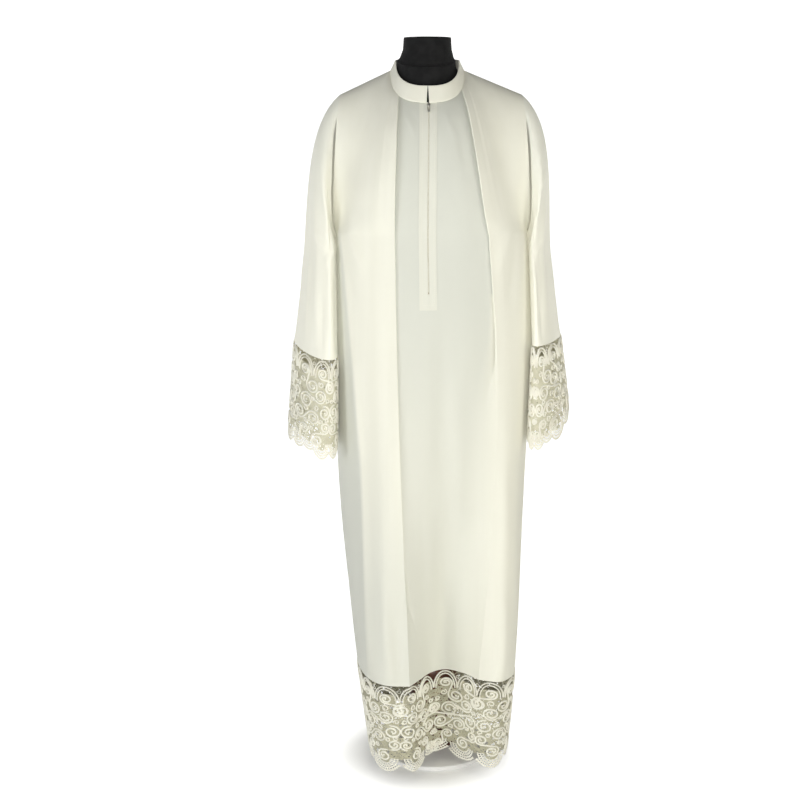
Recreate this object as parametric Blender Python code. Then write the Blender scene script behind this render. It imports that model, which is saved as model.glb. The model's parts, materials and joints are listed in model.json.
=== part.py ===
"""An ivory alb robe with lace at the hem and cuffs, worn by a limbless dress form on a turned post.

Metres, +Z up. The origin is on the floor under the middle of the post, the robe's front faces -Y and
+X is the right of someone looking at the front. Tables are in millimetres: their x and y count from
the middle of the neck, which stands NECK_AT from the post's axis, and their heights from the floor.
"""
import math

import bpy
import numpy as np

MM = 0.001
NECK_AT = np.array((-20.0, -30.0))

# Cloth
CLOTH = 1.2
PLACKET_CLOTH = 1.0
COLLAR_CLOTH = 2.2
LACE = 1.6
SEAM_GAP = 0.3
SIDE_SEAM = 0.3
SHOULDER_SEAM = 0.5
LAYER_PITCH = 2.4
PLEAT_LAP = 28.0

# Levels of the fold tables: underarm, hip, knee, the seam of the hem lace, and the tips of that lace
LEVELS = (1200.0, 950.0, 700.0, 226.0, 20.0)
UNDERARM, _, _, HEM_SEAM, HEM_TIP = LEVELS
SCALLOP_NOTCH = 14.0

# Each row is a fold of the skirt, as x, y at the five levels, going round from the left side seam.
# A panel's rows run through its silhouette, its crowns and its pleat edge.
FRONT_LEFT = (
    ("side seam",   ((-197, 8), (-197, 17), (-196, 25), (-152, 45), (-118, 40))),
    ("side",        ((-191, -40), (-188, -40), (-181, -40), (-152, -22), (-124, -26))),
    ("side fold",   ((-180, -88), (-158, -103), (-139, -114), (-126, -114), (-112, -112))),
    ("crown",       ((-122, -122), (-110, -136), (-100, -148), (-90, -153), (-80, -148))),
    ("pleat edge",  ((-68, -141), (-63, -150), (-55, -158), (-36, -160), (-28, -152))),
)
FRONT_CENTRE = (
    ("left flank",  ((-34, -138), (-29, -145), (-24, -147), (-10, -116), (-4, -112))),
    ("zip",         ((0, -139), (4, -144), (8, -140), (14, -78), (16, -78))),
    ("valley",      ((36, -138), (42, -137), (46, -128), (46, -62), (46, -64))),
    ("right rise",  ((78, -134), (86, -129), (92, -120), (84, -84), (80, -84))),
)
FRONT_RIGHT = (
    ("pleat edge",  ((126, -127), (145, -117), (148, -112), (116, -122), (108, -118))),
    ("crown",       ((160, -107), (176, -99), (186, -98), (160, -134), (148, -130))),
    ("side fold",   ((199, -70), (208, -68), (206, -66), (192, -98), (176, -92))),
    ("side",        ((215, -16), (229, -8), (220, -8), (200, -22), (186, -20))),
    ("side seam",   ((216, 8), (230, 18), (219, 25), (194, 50), (182, 46))),
)
BACK_RIGHT = (
    ("side seam",   ((216, 8), (230, 18), (219, 25), (194, 50), (182, 46))),
    ("side",        ((206, 62), (218, 76), (210, 88), (190, 118), (176, 112))),
    ("crown",       ((150, 104), (157, 122), (160, 140), (140, 170), (128, 162))),
    ("pleat edge",  ((76, 114), (81, 137), (84, 158), (74, 186), (68, 178))),
)
BACK_CENTRE = (
    ("right flank", ((40, 110), (44, 131), (46, 146), (40, 142), (36, 136))),
    ("valley",      ((4, 110), (8, 128), (12, 138), (14, 112), (14, 108))),
    ("left flank",  ((-34, 110), (-31, 131), (-28, 146), (-18, 134), (-14, 130))),
)
BACK_LEFT = (
    ("pleat edge",  ((-70, 114), (-70, 137), (-68, 158), (-54, 178), (-46, 170))),
    ("crown",       ((-138, 104), (-142, 122), (-142, 138), (-112, 152), (-96, 146))),
    ("side",        ((-188, 62), (-192, 74), (-190, 86), (-152, 104), (-122, 98))),
    ("side seam",   ((-197, 8), (-197, 17), (-196, 25), (-152, 45), (-118, 40))),
)
# Heights over which a pleat is closed, and where it has opened into a single fold
PLEAT_OPENS = {
    "front left": (520.0, 330.0),
    "front right": (1060.0, 800.0),
    "back right": (620.0, 330.0),
    "back left": (560.0, 330.0),
}

# The neckline and the collar's top edge: half width, front, back, and the heights of side, front, back
NECKLINE = dict(half=77.0, front=86.0, back=70.0, z_side=1533.0, z_front=1468.0, z_back=1530.0)
COLLAR_TOP = dict(half=65.5, front=76.0, back=66.0, z_side=1555.0, z_front=1501.0, z_back=1562.0)
# How square both are in plan, and how soon they drop from the sides to the front and the back
NECK_SQUARE = 0.75
NECK_DROP_FRONT = 0.7
NECK_DROP_BACK = 1.6
COLLAR_SLIT_TOP = 0.8
COLLAR_SLIT_FOOT = 4.6

# Shoulder tips, and how far the armholes reach forward, back and out
TIP_LEFT = (-182.0, 0.0, 1484.0)
TIP_RIGHT = (198.0, 0.0, 1484.0)
ARMHOLE_FORWARD = 62.0
ARMHOLE_BACK = 62.0
ARMHOLE_BULGE = 4.0

# A row for each level of a sleeve: height at the front and at the back, middle x and y, half width
# across, half depth front to back, and how far its front edge is turned in, in degrees.
SLEEVE_LEFT = (
    ("upper arm", 1152, 1152, -230, 0, 25, 82, 20),
    ("cuff seam", 934, 960, -241, 0, 36, 100, 22),
    ("lace tips", 716, 748, -251, 2, 44, 108, 22),
)
SLEEVE_RIGHT = (
    ("upper arm", 1152, 1152, 244, 0, 16, 66, 20),
    ("cuff seam", 962, 968, 262, 0, 22, 88, 20),
    ("lace tips", 728, 800, 271, 2, 36, 98, 24),
)
CUFF_NOTCH = 12.0

# Zip: it shuts the front below the collar and ends above the foot of its placket
ZIP_END = 1080.0
PLACKET_FOOT = 1047.0
PLACKET_LEFT = 19.0
PLACKET_RIGHT = 17.0
SLOT_HALF = 1.4
TAPE_CLOTH = 1.0
TAPE_INSET = 0.35
CHAIN_WIDTH = 2.0
CHAIN_END = 0.03
CHAIN_THICK = 2.0
SLIDER = (5.6, 8.0, 2.4)
SLIDER_DROP = 6.5
TAB_LENGTH = 17.0
TAB_WIDTH = 7.0
TAB_THICK = 1.2
TAB_ABOVE = 0.5
TAB_EYE = 1.2

# The form's rings, from its flat underside to its flat neck top: middle x, half width, front, back,
# and the heights of side, front and back.
FORM_RINGS = (
    ("underside",      20, 138, 92, 96, 780, 780, 780),
    ("cover hem",      20, 152, 103, 106, 784, 784, 784),
    ("hip",            20, 164, 112, 114, 830, 830, 830),
    ("seat",           19, 166, 113, 116, 900, 900, 900),
    ("waist",          16, 146, 100, 96, 1050, 1050, 1050),
    ("ribs",           13, 158, 112, 98, 1160, 1160, 1160),
    ("chest",          10, 168, 120, 100, 1270, 1240, 1250),
    ("armpit",          9, 171, 114, 94, 1350, 1305, 1330),
    ("shoulder side",   8, 172, 104, 84, 1420, 1352, 1395),
    ("shoulder tip",    8, 168, 95, 74, 1470, 1388, 1434),
    ("outer ridge",     8, 157, 88, 68, 1494, 1410, 1458),
    ("middle ridge",    5, 125, 80, 60, 1510.4, 1433, 1477),
    ("inner ridge",     3, 98, 73, 55, 1521, 1453, 1490),
    ("neck foot",       0, 73, 68, 56, 1527, 1472, 1508),
    ("neck low",       -1, 65, 65, 56, 1534, 1488, 1522),
    ("neck band",      -2, 62, 64, 58, 1541, 1510, 1540),
    ("band edge",      -2, 61, 62, 57, 1554, 1546, 1553),
    ("band lip",       -1, 56, 58, 55, 1563, 1553, 1559),
    ("neck",            0, 51, 53, 51, 1576, 1574, 1576),
    ("neck top",        0, 49.5, 51, 50, 1600, 1600, 1600),
)
FORM_ROUND = 28
FORM_DROP = 0.9

# The post's turned profile: height and radius, from the base up to the form's underside
POST_PROFILE = (
    ("foot", 10.3, 46), ("foot top", 20, 46), ("cove", 32, 33), ("stem", 60, 37), ("belly", 110, 50),
    ("shoulder", 165, 58), ("crown", 205, 54), ("crown top", 240, 36), ("neck", 262, 24),
    ("bead", 274, 28), ("bead top", 288, 22), ("pole", 320, 17.5), ("pole top", 779.7, 17.5),
)
POST_ROUND = 24
BASE_RADIUS = 135.0
BASE_THICK = 10.0
BASE_EDGE = 2.5
BASE_ROUND = 48

# Lace: how many gaps it has round each half of the hem and round each cuff, and down its depth
HEM_COLUMNS = 30
HEM_ROWS = (HEM_SEAM, 168.0, 98.0)
CUFF_COLUMNS = 10
CUFF_ROWS = 4
# A gap's four corners within its cell, across and down
GAPS = {
    "arch": ((0.16, 0.07), (0.36, 0.34), (0.64, 0.34), (0.84, 0.07)),
    "scroll": ((0.28, 0.36), (0.22, 0.66), (0.70, 0.72), (0.78, 0.30)),
    "fan": ((0.30, 0.28), (0.36, 0.60), (0.64, 0.60), (0.72, 0.28)),
}


# --- Points, curves and levels ------------------------------------------------------------------


def soft_step(t):
    """0 to 1 with level ends."""
    t = min(max(t, 0.0), 1.0)
    return t * t * (3.0 - 2.0 * t)


def at_level(values, z):
    """A smooth value at height z from the values at the five levels."""
    values = np.asarray(values, float)
    levels = np.asarray(LEVELS)
    slopes = np.gradient(values, levels, axis=0)
    i = int(np.clip(np.searchsorted(-levels, -z) - 1, 0, len(levels) - 2))
    span = levels[i + 1] - levels[i]
    t = (z - levels[i]) / span
    return (
        values[i] * (2 * t**3 - 3 * t**2 + 1)
        + values[i + 1] * (3 * t**2 - 2 * t**3)
        + slopes[i] * span * (t**3 - 2 * t**2 + t)
        + slopes[i + 1] * span * (t**3 - t**2)
    )


def folds_at(table, z):
    """The x, y of each fold of a table at height z."""
    return np.array([at_level(places, z) for _, places in table])


def smooth_curve(points, steps=12):
    """A dense curve through points, straightened where they are close together."""
    points = np.asarray(points, float)
    padded = np.vstack((2 * points[0] - points[1], points, 2 * points[-1] - points[-2]))
    curve = [points[0]]
    for a, b, c, d in zip(padded, padded[1:], padded[2:], padded[3:]):
        ta = np.linalg.norm(b - a) ** 0.5 + 1e-9
        tb = np.linalg.norm(c - b) ** 0.5 + 1e-9
        tc = np.linalg.norm(d - c) ** 0.5 + 1e-9
        out = tb * ((b - a) / ta - (c - a) / (ta + tb) + (c - b) / tb)
        back = tb * ((c - b) / tb - (d - b) / (tb + tc) + (d - c) / tc)
        for t in np.arange(1, steps + 1) / steps:
            curve.append(
                b * (2 * t**3 - 3 * t**2 + 1)
                + c * (3 * t**2 - 2 * t**3)
                + out * (t**3 - 2 * t**2 + t)
                + back * (t**3 - t**2)
            )
    return np.array(curve)


def lengths_along(curve):
    return np.concatenate(([0.0], np.cumsum(np.linalg.norm(np.diff(curve, axis=0), axis=1))))


def places_along(curve, distances):
    """Points of a dense curve at distances from its start."""
    along = lengths_along(curve)
    return np.stack([np.interp(distances, along, axis) for axis in curve.T], axis=-1)


def even_places(curve, count, start=0.0, end=None):
    """count points from one distance to another, both ends included."""
    end = lengths_along(curve)[-1] if end is None else end
    return places_along(curve, np.linspace(start, end, count))


def neck_ring(ring, angle):
    """A point of the neckline or the collar's top: 0 is the right side and 90 degrees the front."""
    c, s = math.cos(angle), math.sin(angle)
    out = math.copysign(abs(c) ** NECK_SQUARE, c)
    ahead = math.copysign(abs(s) ** NECK_SQUARE, s)
    if s > 0:
        depth, level, drop = ring["front"], ring["z_front"], NECK_DROP_FRONT
    else:
        depth, level, drop = ring["back"], ring["z_back"], NECK_DROP_BACK
    z = ring["z_side"] + (level - ring["z_side"]) * abs(s) ** drop
    return np.array((ring["half"] * out, -depth * ahead, z))


def neck_arc(start, end, count=24):
    """Points of the neckline between two angles in degrees."""
    return np.array([neck_ring(NECKLINE, math.radians(a)) for a in np.linspace(start, end, count)])


# --- Pleats -------------------------------------------------------------------------------------

HAIRPIN = LAYER_PITCH / 2
# A pleat's columns from the panel on top to the one below: distance back from the pleat's edge
# while it is folded, with its depth in layers, and distance back from the edge once it has opened.
PLEAT_COLUMNS = (
    ("over the turn",  PLEAT_LAP,           0.0, 36.0),
    ("top layer",      PLEAT_LAP / 2,       0.0, 22.0),
    ("top end",        HAIRPIN,             0.0, 9.0),
    ("edge",           0.0,                 0.5, 0.0),
    ("middle start",   HAIRPIN,             1.0, -6.0),
    ("middle end",     PLEAT_LAP - HAIRPIN, 1.0, -14.0),
    ("inner turn",     PLEAT_LAP,           1.5, -22.0),
    ("under start",    PLEAT_LAP - HAIRPIN, 2.0, -29.0),
    ("under the edge", 2.0,                 2.0, -36.0),
)


def folded_columns(panel, inward, pitch=1.0):
    """The pleat's columns while folded, its layers pitch times LAYER_PITCH apart.

    panel is the top panel's curve, which ends at the pleat's edge.
    """
    total = lengths_along(panel)[-1]
    columns = []
    for _, back, depth, _ in PLEAT_COLUMNS:
        here = places_along(panel, total - back)
        ahead = places_along(panel, min(total, total - back + 2.0))
        behind = places_along(panel, total - back - 2.0)
        columns.append(here + inward(ahead - behind) * depth * pitch * LAYER_PITCH)
    return np.array(columns)


def opened_columns(panel, beyond):
    """The same columns once the pleat has opened: beyond is the curve that leaves its edge."""
    total = lengths_along(panel)[-1]
    return np.array([
        places_along(panel, total - back) if back >= 0 else places_along(beyond, -back)
        for _, _, _, back in PLEAT_COLUMNS
    ])


def pleat_columns(panel, beyond, inward, opened):
    """The columns part of the way open: the layers slide apart before the step between them fades."""
    flat, folded = folded_columns(panel, inward, 0.0), folded_columns(panel, inward, 1.0)
    slid = flat + (opened_columns(panel, beyond) - flat) * opened
    return slid + (folded - flat) * (1.0 - opened ** 4)


def left_of(direction):
    """The unit vector a quarter turn anticlockwise: into the robe, for folds listed anticlockwise."""
    return np.array((-direction[1], direction[0])) / np.linalg.norm(direction)


def right_of(direction):
    return -left_of(direction)


SIDE_COLUMNS = 8
CENTRE_COLUMNS = 4


def section(first, centre, last, opens, z, middle_offsets):
    """The x, y of every column of a front or back at height z, from side seam to side seam.

    first and last are the fold tables of its outer panels, centre the table of the panel that their
    pleats cover, and middle_offsets the columns that keep their distance from its second fold.
    """
    first_curve = smooth_curve(folds_at(first, z))
    last_curve = smooth_curve(folds_at(last, z)[::-1])
    middle = folds_at(centre, z)
    beyond = smooth_curve(np.vstack((first_curve[-1], middle, last_curve[-1])))
    pleats = []
    for curve, onward, inward, (top, foot) in (
        (first_curve, beyond, left_of, PLEAT_OPENS[opens[0]]),
        (last_curve, beyond[::-1], right_of, PLEAT_OPENS[opens[1]]),
    ):
        opened = soft_step((top - z) / (top - foot))
        pleats.append(pleat_columns(curve, onward, inward, opened))
    across = smooth_curve(np.vstack((pleats[0][-1], middle, pleats[1][-1])))
    along = lengths_along(across)
    zip_at = along[24]
    first_end, last_start = zip_at + middle_offsets[0], zip_at + middle_offsets[-1]
    return np.vstack((
        even_places(first_curve, SIDE_COLUMNS, 0, lengths_along(first_curve)[-1] - 40.0),
        pleats[0],
        even_places(across, CENTRE_COLUMNS, 0, first_end)[1:-1],
        places_along(across, zip_at + np.asarray(middle_offsets)),
        even_places(across, CENTRE_COLUMNS + 1, last_start)[1:-1],
        pleats[1][::-1],
        even_places(last_curve, SIDE_COLUMNS, 0, lengths_along(last_curve)[-1] - 40.0)[::-1],
    ))


def front_section(z):
    offsets = (-PLACKET_LEFT, -SLOT_HALF, SLOT_HALF, PLACKET_RIGHT)
    return section(
        FRONT_LEFT, FRONT_CENTRE, FRONT_RIGHT, ("front left", "front right"), z, offsets
    )


def back_section(z):
    return section(BACK_RIGHT, BACK_CENTRE, BACK_LEFT, ("back right", "back left"), z, (-12.0, 12.0))


# --- The upper part, from the shoulder seams and the neckline to the underarm --------------------

NECK_PLEAT_LEFT = 137.0
NECK_PLEAT_RIGHT = 27.0
BACK_PLEAT_RIGHT = -53.0
BACK_PLEAT_LEFT = -127.0
SHOULDER_COLUMNS = 4


def top_edge(tip_start, tip_end, arc_start, pleat_start, pleat_end, arc_end, middle_offsets, shares):
    """The top edge of a front or back, a point for each column, anticlockwise.

    It runs up one shoulder seam, round the neckline with a pleat at two angles, and down the other.
    """
    def down(direction):
        """Into the robe, for a neckline walked anticlockwise."""
        flat = left_of(direction[:2])
        into = np.array((flat[0], flat[1], -0.35))
        return into / np.linalg.norm(into)

    def down_back(direction):
        return down(-np.asarray(direction))

    first_arc = neck_arc(arc_start, pleat_start)
    last_arc = neck_arc(arc_end, pleat_end)
    first = folded_columns(first_arc, down)
    last = folded_columns(last_arc, down_back)
    middle = neck_arc(pleat_start, pleat_end, 40)
    onward = np.vstack((middle[1:], middle[-1:] * 2 - middle[-2:-1]))
    sunk = np.array([p + down(q - p) * 2 * LAYER_PITCH for p, q in zip(middle, onward)])
    along = lengths_along(sunk)
    zip_at = along[-1] * shares
    neck_columns = SIDE_COLUMNS - SHOULDER_COLUMNS + 1
    left_seam = np.linspace(tip_start, first_arc[0], SHOULDER_COLUMNS)
    right_seam = np.linspace(tip_end, last_arc[0], SHOULDER_COLUMNS)
    first_free = lengths_along(first_arc)[-1] - PLEAT_LAP
    last_free = lengths_along(last_arc)[-1] - PLEAT_LAP
    return np.vstack((
        left_seam,
        even_places(first_arc, neck_columns + 1, 0, first_free)[1:-1],
        first,
        even_places(sunk, CENTRE_COLUMNS, 0, zip_at + middle_offsets[0])[1:-1],
        places_along(sunk, zip_at + np.asarray(middle_offsets)),
        even_places(sunk, CENTRE_COLUMNS + 1, zip_at + middle_offsets[-1])[1:-1],
        last[::-1],
        even_places(last_arc, neck_columns + 1, 0, last_free)[1:-1][::-1],
        right_seam[::-1],
    ))


def armhole(tip, foot, side, t):
    """A point of an armhole, t from the shoulder tip to the underarm. side is -1 at the front."""
    turn = math.pi * t
    reach = ARMHOLE_FORWARD if side < 0 else ARMHOLE_BACK
    share = (1 - math.cos(turn)) / 2
    point = np.asarray(tip) + (np.asarray(foot) - np.asarray(tip)) * share
    outward = 1.0 if tip[0] > 0 else -1.0
    point += np.array((outward * ARMHOLE_BULGE, side * reach, 0.0)) * math.sin(turn)
    return point


def centre_profile(top, foot, t, lean):
    """The fall of the cloth from the middle of the neckline to the underarm level."""
    reach = top[2] - foot[2]
    start = np.array((0.0, lean * 0.52, -0.72)) * reach
    end = np.array((0.0, 0.0, -0.9)) * reach
    return (
        top * (2 * t**3 - 3 * t**2 + 1)
        + foot * (3 * t**2 - 2 * t**3)
        + start * (t**3 - 2 * t**2 + t)
        + end * (t**3 - t**2)
    )


def upper_rows(top, foot, tips, side, middle, shares):
    """Rows from the top edge to the underarm, fitted to the armholes and the middle's profile."""
    foot = np.column_stack((foot, np.full(len(foot), UNDERARM)))
    walked = lengths_along(foot[:, :2])
    half = walked[middle]
    nearness = np.where(
        walked <= half, walked / half, (walked[-1] - walked) / (walked[-1] - half)
    )[:, None]
    rows = []
    for t in shares:
        straight = top + (foot - top) * t
        first = armhole(tips[0], foot[0], side, t) - straight[0]
        last = armhole(tips[1], foot[-1], side, t) - straight[-1]
        centre = centre_profile(top[middle], foot[middle], t, side) - straight[middle]
        at_side = np.where(np.arange(len(foot))[:, None] <= middle, first, last)
        rows.append(straight + at_side * (1 - nearness) + centre * nearness)
    return rows


UPPER_SHARES = (0.0, 0.1, 0.22, 0.36, 0.52, 0.68, 0.84)
LOWER_LEVELS = (
    UNDERARM, ZIP_END, PLACKET_FOOT, 990.0, 930.0, 870.0, 780.0, 620.0, 520.0, 425.0, 330.0, HEM_SEAM
)
BACK_LEVELS = (UNDERARM, 1047.0, 870.0, 780.0, 620.0, 520.0, 425.0, 330.0, HEM_SEAM)


def parted(rows, side):
    """Draws a panel's side and shoulder seams in, so that it clears the other panel."""
    rows[:, 0, 1] += side * SIDE_SEAM
    rows[:, -1, 1] += side * SIDE_SEAM
    rows[0, 1:SHOULDER_COLUMNS, 1] += side * SHOULDER_SEAM
    rows[0, -SHOULDER_COLUMNS:-1, 1] += side * SHOULDER_SEAM
    return rows


def front_rows():
    offsets = (-PLACKET_LEFT, -SLOT_HALF, SLOT_HALF, PLACKET_RIGHT)
    top = top_edge(
        TIP_LEFT, TIP_RIGHT, 180.0, NECK_PLEAT_LEFT, NECK_PLEAT_RIGHT, 0.0, offsets, 0.44
    )
    foot = front_section(UNDERARM)
    middle = ZIP_COLUMN
    rows = upper_rows(top, foot, (TIP_LEFT, TIP_RIGHT), -1, middle, UPPER_SHARES)
    for z in LOWER_LEVELS:
        flat = front_section(z)
        rows.append(np.column_stack((flat, np.full(len(flat), z))))
    return parted(np.array(rows), -1)


def back_rows():
    offsets = (-12.0, 12.0)
    top = top_edge(
        TIP_RIGHT, TIP_LEFT, 0.0, BACK_PLEAT_RIGHT, BACK_PLEAT_LEFT, -180.0, offsets, 0.5
    )
    foot = back_section(UNDERARM)
    middle = BACK_MIDDLE_COLUMN
    rows = upper_rows(top, foot, (TIP_RIGHT, TIP_LEFT), 1, middle, UPPER_SHARES)
    for z in BACK_LEVELS:
        flat = back_section(z)
        rows.append(np.column_stack((flat, np.full(len(flat), z))))
    return parted(np.array(rows), 1)


PLEAT_COUNT = len(PLEAT_COLUMNS)
ZIP_COLUMN = SIDE_COLUMNS + PLEAT_COUNT + CENTRE_COLUMNS - 2 + 1
BACK_MIDDLE_COLUMN = SIDE_COLUMNS + PLEAT_COUNT + CENTRE_COLUMNS - 2


# --- Walls --------------------------------------------------------------------------------------


def world(points):
    """Table millimetres to the world's metres."""
    points = np.array(points, float)
    points[..., :2] += NECK_AT
    return points * MM


def material(name, colour, roughness, metallic=0.0):
    made = bpy.data.materials.new(name)
    made.use_nodes = True
    shader = made.node_tree.nodes["Principled BSDF"]
    shader.inputs["Base Color"].default_value = (*colour, 1.0)
    shader.inputs["Roughness"].default_value = roughness
    shader.inputs["Metallic"].default_value = metallic
    made.diffuse_color = (*colour, 1.0)
    return made


def add_object(name, vertices, faces, finish, smooth_angle=35.0, origin=(0.0, 0.0, 0.0)):
    """An object from a mesh in world metres, with its own origin where origin says."""
    mesh = bpy.data.meshes.new(name)
    mesh.from_pydata([tuple(v) for v in vertices - np.asarray(origin)], [], [tuple(f) for f in faces])
    mesh.materials.append(finish)
    mesh.shade_smooth()
    mesh.set_sharp_from_angle(angle=math.radians(smooth_angle))
    mesh.update()
    made = bpy.data.objects.new(name, mesh)
    made.location = origin
    bpy.context.scene.collection.objects.link(made)
    return made


def grid_normals(grid, closed):
    """Outward normals of a grid's points, lengthened where it turns so that a wall keeps its width."""
    after = np.roll(grid, -1, axis=1) if closed else grid[:, 1:]
    before = grid if closed else grid[:, :-1]
    down = (before[1:] + after[1:]) - (before[:-1] + after[:-1])
    across = (after[1:] + after[:-1]) - (before[1:] + before[:-1])
    cells = np.cross(down, across)
    cells /= np.linalg.norm(cells, axis=-1, keepdims=True)
    rows, columns = grid.shape[:2]
    normals = np.zeros_like(grid)
    stretch = np.ones((rows, columns, 1))
    for r in range(rows):
        for c in range(columns):
            near = []
            for i in (r - 1, r):
                for j in (c - 1, c):
                    if closed:
                        j %= columns
                    if 0 <= i < cells.shape[0] and 0 <= j < cells.shape[1]:
                        near.append(cells[i, j])
            mean = np.sum(near, axis=0)
            mean /= np.linalg.norm(mean)
            normals[r, c] = mean
            stretch[r, c] = min(1.5, 1.0 / max(0.2, float(np.mean(np.array(near) @ mean))))
    return normals * stretch


def wall(
    name, grid, thickness, finish, closed=False, skip=None, gap_shape=None, offset=0.0, normals=None
):
    """A cloth wall round a grid of middle points in table millimetres.

    Rows run down and columns run anticlockwise. skip says which cells are left out, gap_shape which
    cells have a four-cornered gap and where, offset moves the wall outward from the grid, and
    normals are those of a larger grid that this one is a strip of.
    """
    rows, columns = grid.shape[:2]
    if normals is None:
        normals = grid_normals(grid, closed)
    places = [p for p in (grid + normals * offset).reshape(-1, 3)]
    outs = [n for n in normals.reshape(-1, 3)]
    polygons = []
    for r in range(rows - 1):
        for c in range(columns if closed else columns - 1):
            if skip and skip(r, c):
                continue
            d = (c + 1) % columns
            corners = [r * columns + c, (r + 1) * columns + c, (r + 1) * columns + d, r * columns + d]
            shape = gap_shape(r, c) if gap_shape else None
            if shape is None:
                polygons.append(corners[:3])
                polygons.append([corners[0], *corners[2:]])
                continue
            ring = []
            for across, down in shape:
                weights = (
                    (1 - across) * (1 - down), (1 - across) * down, across * down, across * (1 - down)
                )
                ring.append(len(places))
                places.append(sum(w * places[k] for w, k in zip(weights, corners)))
                outs.append(sum(w * outs[k] for w, k in zip(weights, corners)))
            for k in range(4):
                j = (k + 1) % 4
                polygons.append([corners[k], corners[j], ring[j], ring[k]])
    used = sorted({k for polygon in polygons for k in polygon})
    index = {k: i for i, k in enumerate(used)}
    polygons = [[index[k] for k in polygon] for polygon in polygons]
    places = np.array([places[k] for k in used])
    outs = np.array([outs[k] for k in used])
    count = len(used)
    vertices = world(np.vstack((places + outs * thickness / 2, places - outs * thickness / 2)))
    edges = {(a, b) for p in polygons for a, b in zip(p, p[1:] + p[:1])}
    faces = list(polygons) + [[k + count for k in reversed(p)] for p in polygons]
    faces += [[b, a, a + count, b + count] for a, b in edges if (b, a) not in edges]
    return add_object(name, vertices, faces, finish)


# --- The robe -----------------------------------------------------------------------------------


def add_panels(cloth):
    front = front_rows()
    slit_rows = len(UPPER_SHARES) + LOWER_LEVELS.index(ZIP_END)
    slot = ZIP_COLUMN
    wall("front_panel", front, CLOTH, cloth, skip=lambda r, c: c == slot and r < slit_rows)
    wall("back_panel", back_rows(), CLOTH, cloth)
    return front


def add_placket(front, cloth, tape, chain):
    """The zip's placket on the front, its tape behind the slit and its chain in it."""
    foot_row = len(UPPER_SHARES) + LOWER_LEVELS.index(PLACKET_FOOT)
    end_row = len(UPPER_SHARES) + LOWER_LEVELS.index(ZIP_END)
    slot = ZIP_COLUMN
    columns = slice(slot - 1, slot + 3)
    normals = grid_normals(front, False)[:, columns]
    strip = front[:, columns]
    out = CLOTH / 2 + SEAM_GAP + PLACKET_CLOTH / 2
    wall(
        "zip_placket", strip[: foot_row + 1], PLACKET_CLOTH, cloth,
        skip=lambda r, c: c == 1 and r < end_row, offset=out, normals=normals[: foot_row + 1],
    )
    behind = strip[: end_row + 1].copy()
    inside = normals[: end_row + 1].copy()
    for edge, inner in ((0, 1), (3, 2)):
        behind[:, edge] += (behind[:, inner] - behind[:, edge]) * TAPE_INSET
        inside[:, edge] += (inside[:, inner] - inside[:, edge]) * TAPE_INSET
    sunk = (CLOTH + TAPE_CLOTH) / 2 + SEAM_GAP
    wall("zip_tape", behind, TAPE_CLOTH, tape, offset=-sunk, normals=inside)
    middle = (behind[:, 1] + behind[:, 2]) / 2
    across = (behind[:, 2] - behind[:, 1]) * (CHAIN_WIDTH / SLOT_HALF / 4)
    links = np.stack((middle - across, middle + across), axis=1)
    links[-1] += (links[-2] - links[-1]) * CHAIN_END
    wall(
        "zip_chain", links, CHAIN_THICK, chain,
        offset=CHAIN_THICK / 2 - CLOTH / 2 + 0.1, normals=inside[:, 1:3],
    )


def add_collar(cloth):
    """The stand collar: a band from one side of the front slit, round the back, to the other."""
    seam = np.array((0.0, 0.0, CLOTH / 2 + 3 * SEAM_GAP))
    slits = (COLLAR_SLIT_TOP, COLLAR_SLIT_FOOT * 0.8, COLLAR_SLIT_FOOT)
    rows = []
    for share, slit in zip((0.0, 0.5, 1.0), slits):
        row = []
        for angle in np.radians(np.linspace(90.0, -270.0, 33)):
            top = neck_ring(COLLAR_TOP, angle)
            foot = neck_ring(NECKLINE, angle) + seam
            row.append(top + (foot - top) * share)
        row[0] = row[0] + np.array((slit / 2, 0.0, 0.0))
        row[-1] = row[-1] - np.array((slit / 2, 0.0, 0.0))
        rows.append(row)
    wall("collar", np.array(rows), COLLAR_CLOTH, cloth)


SLEEVE_ROUND = 16


def sleeve_ring(row, turns):
    """Points of one of a sleeve's levels, from its outer edge round the front on the left side."""
    _, z_front, z_back, x, y, half_width, half_depth, turned = row
    outward = 1.0 if x > 0 else -1.0
    lean = math.radians(turned)
    points = []
    for turn in turns:
        out = half_width * math.cos(turn)
        ahead = half_depth * math.sin(turn)
        across = out * math.cos(lean) - ahead * math.sin(lean)
        depth = -ahead * math.cos(lean) - out * math.sin(lean)
        z = z_front + (z_back - z_front) * (1 - math.sin(turn)) / 2
        points.append((x + outward * across, y + depth, z))
    return np.array(points)


def sleeve_turns(outward):
    """Angles round a sleeve, anticlockwise from above: 0 is its outer edge and 90 degrees its front."""
    turns = np.linspace(0.0, 2 * math.pi, SLEEVE_ROUND, endpoint=False)
    return turns if outward < 0 else -turns


def armhole_ring(tip, foot, turns, gap):
    """The sleeve's head, just outside the armhole."""
    outward = 1.0 if tip[0] > 0 else -1.0
    points = []
    for turn in turns:
        turn = math.atan2(math.sin(turn), math.cos(turn))
        side = -1 if turn > 0 else 1
        point = armhole(tip, foot, side, abs(turn) / math.pi)
        points.append(point + np.array((outward * gap, 0.0, 0.0)))
    return np.array(points)


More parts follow.
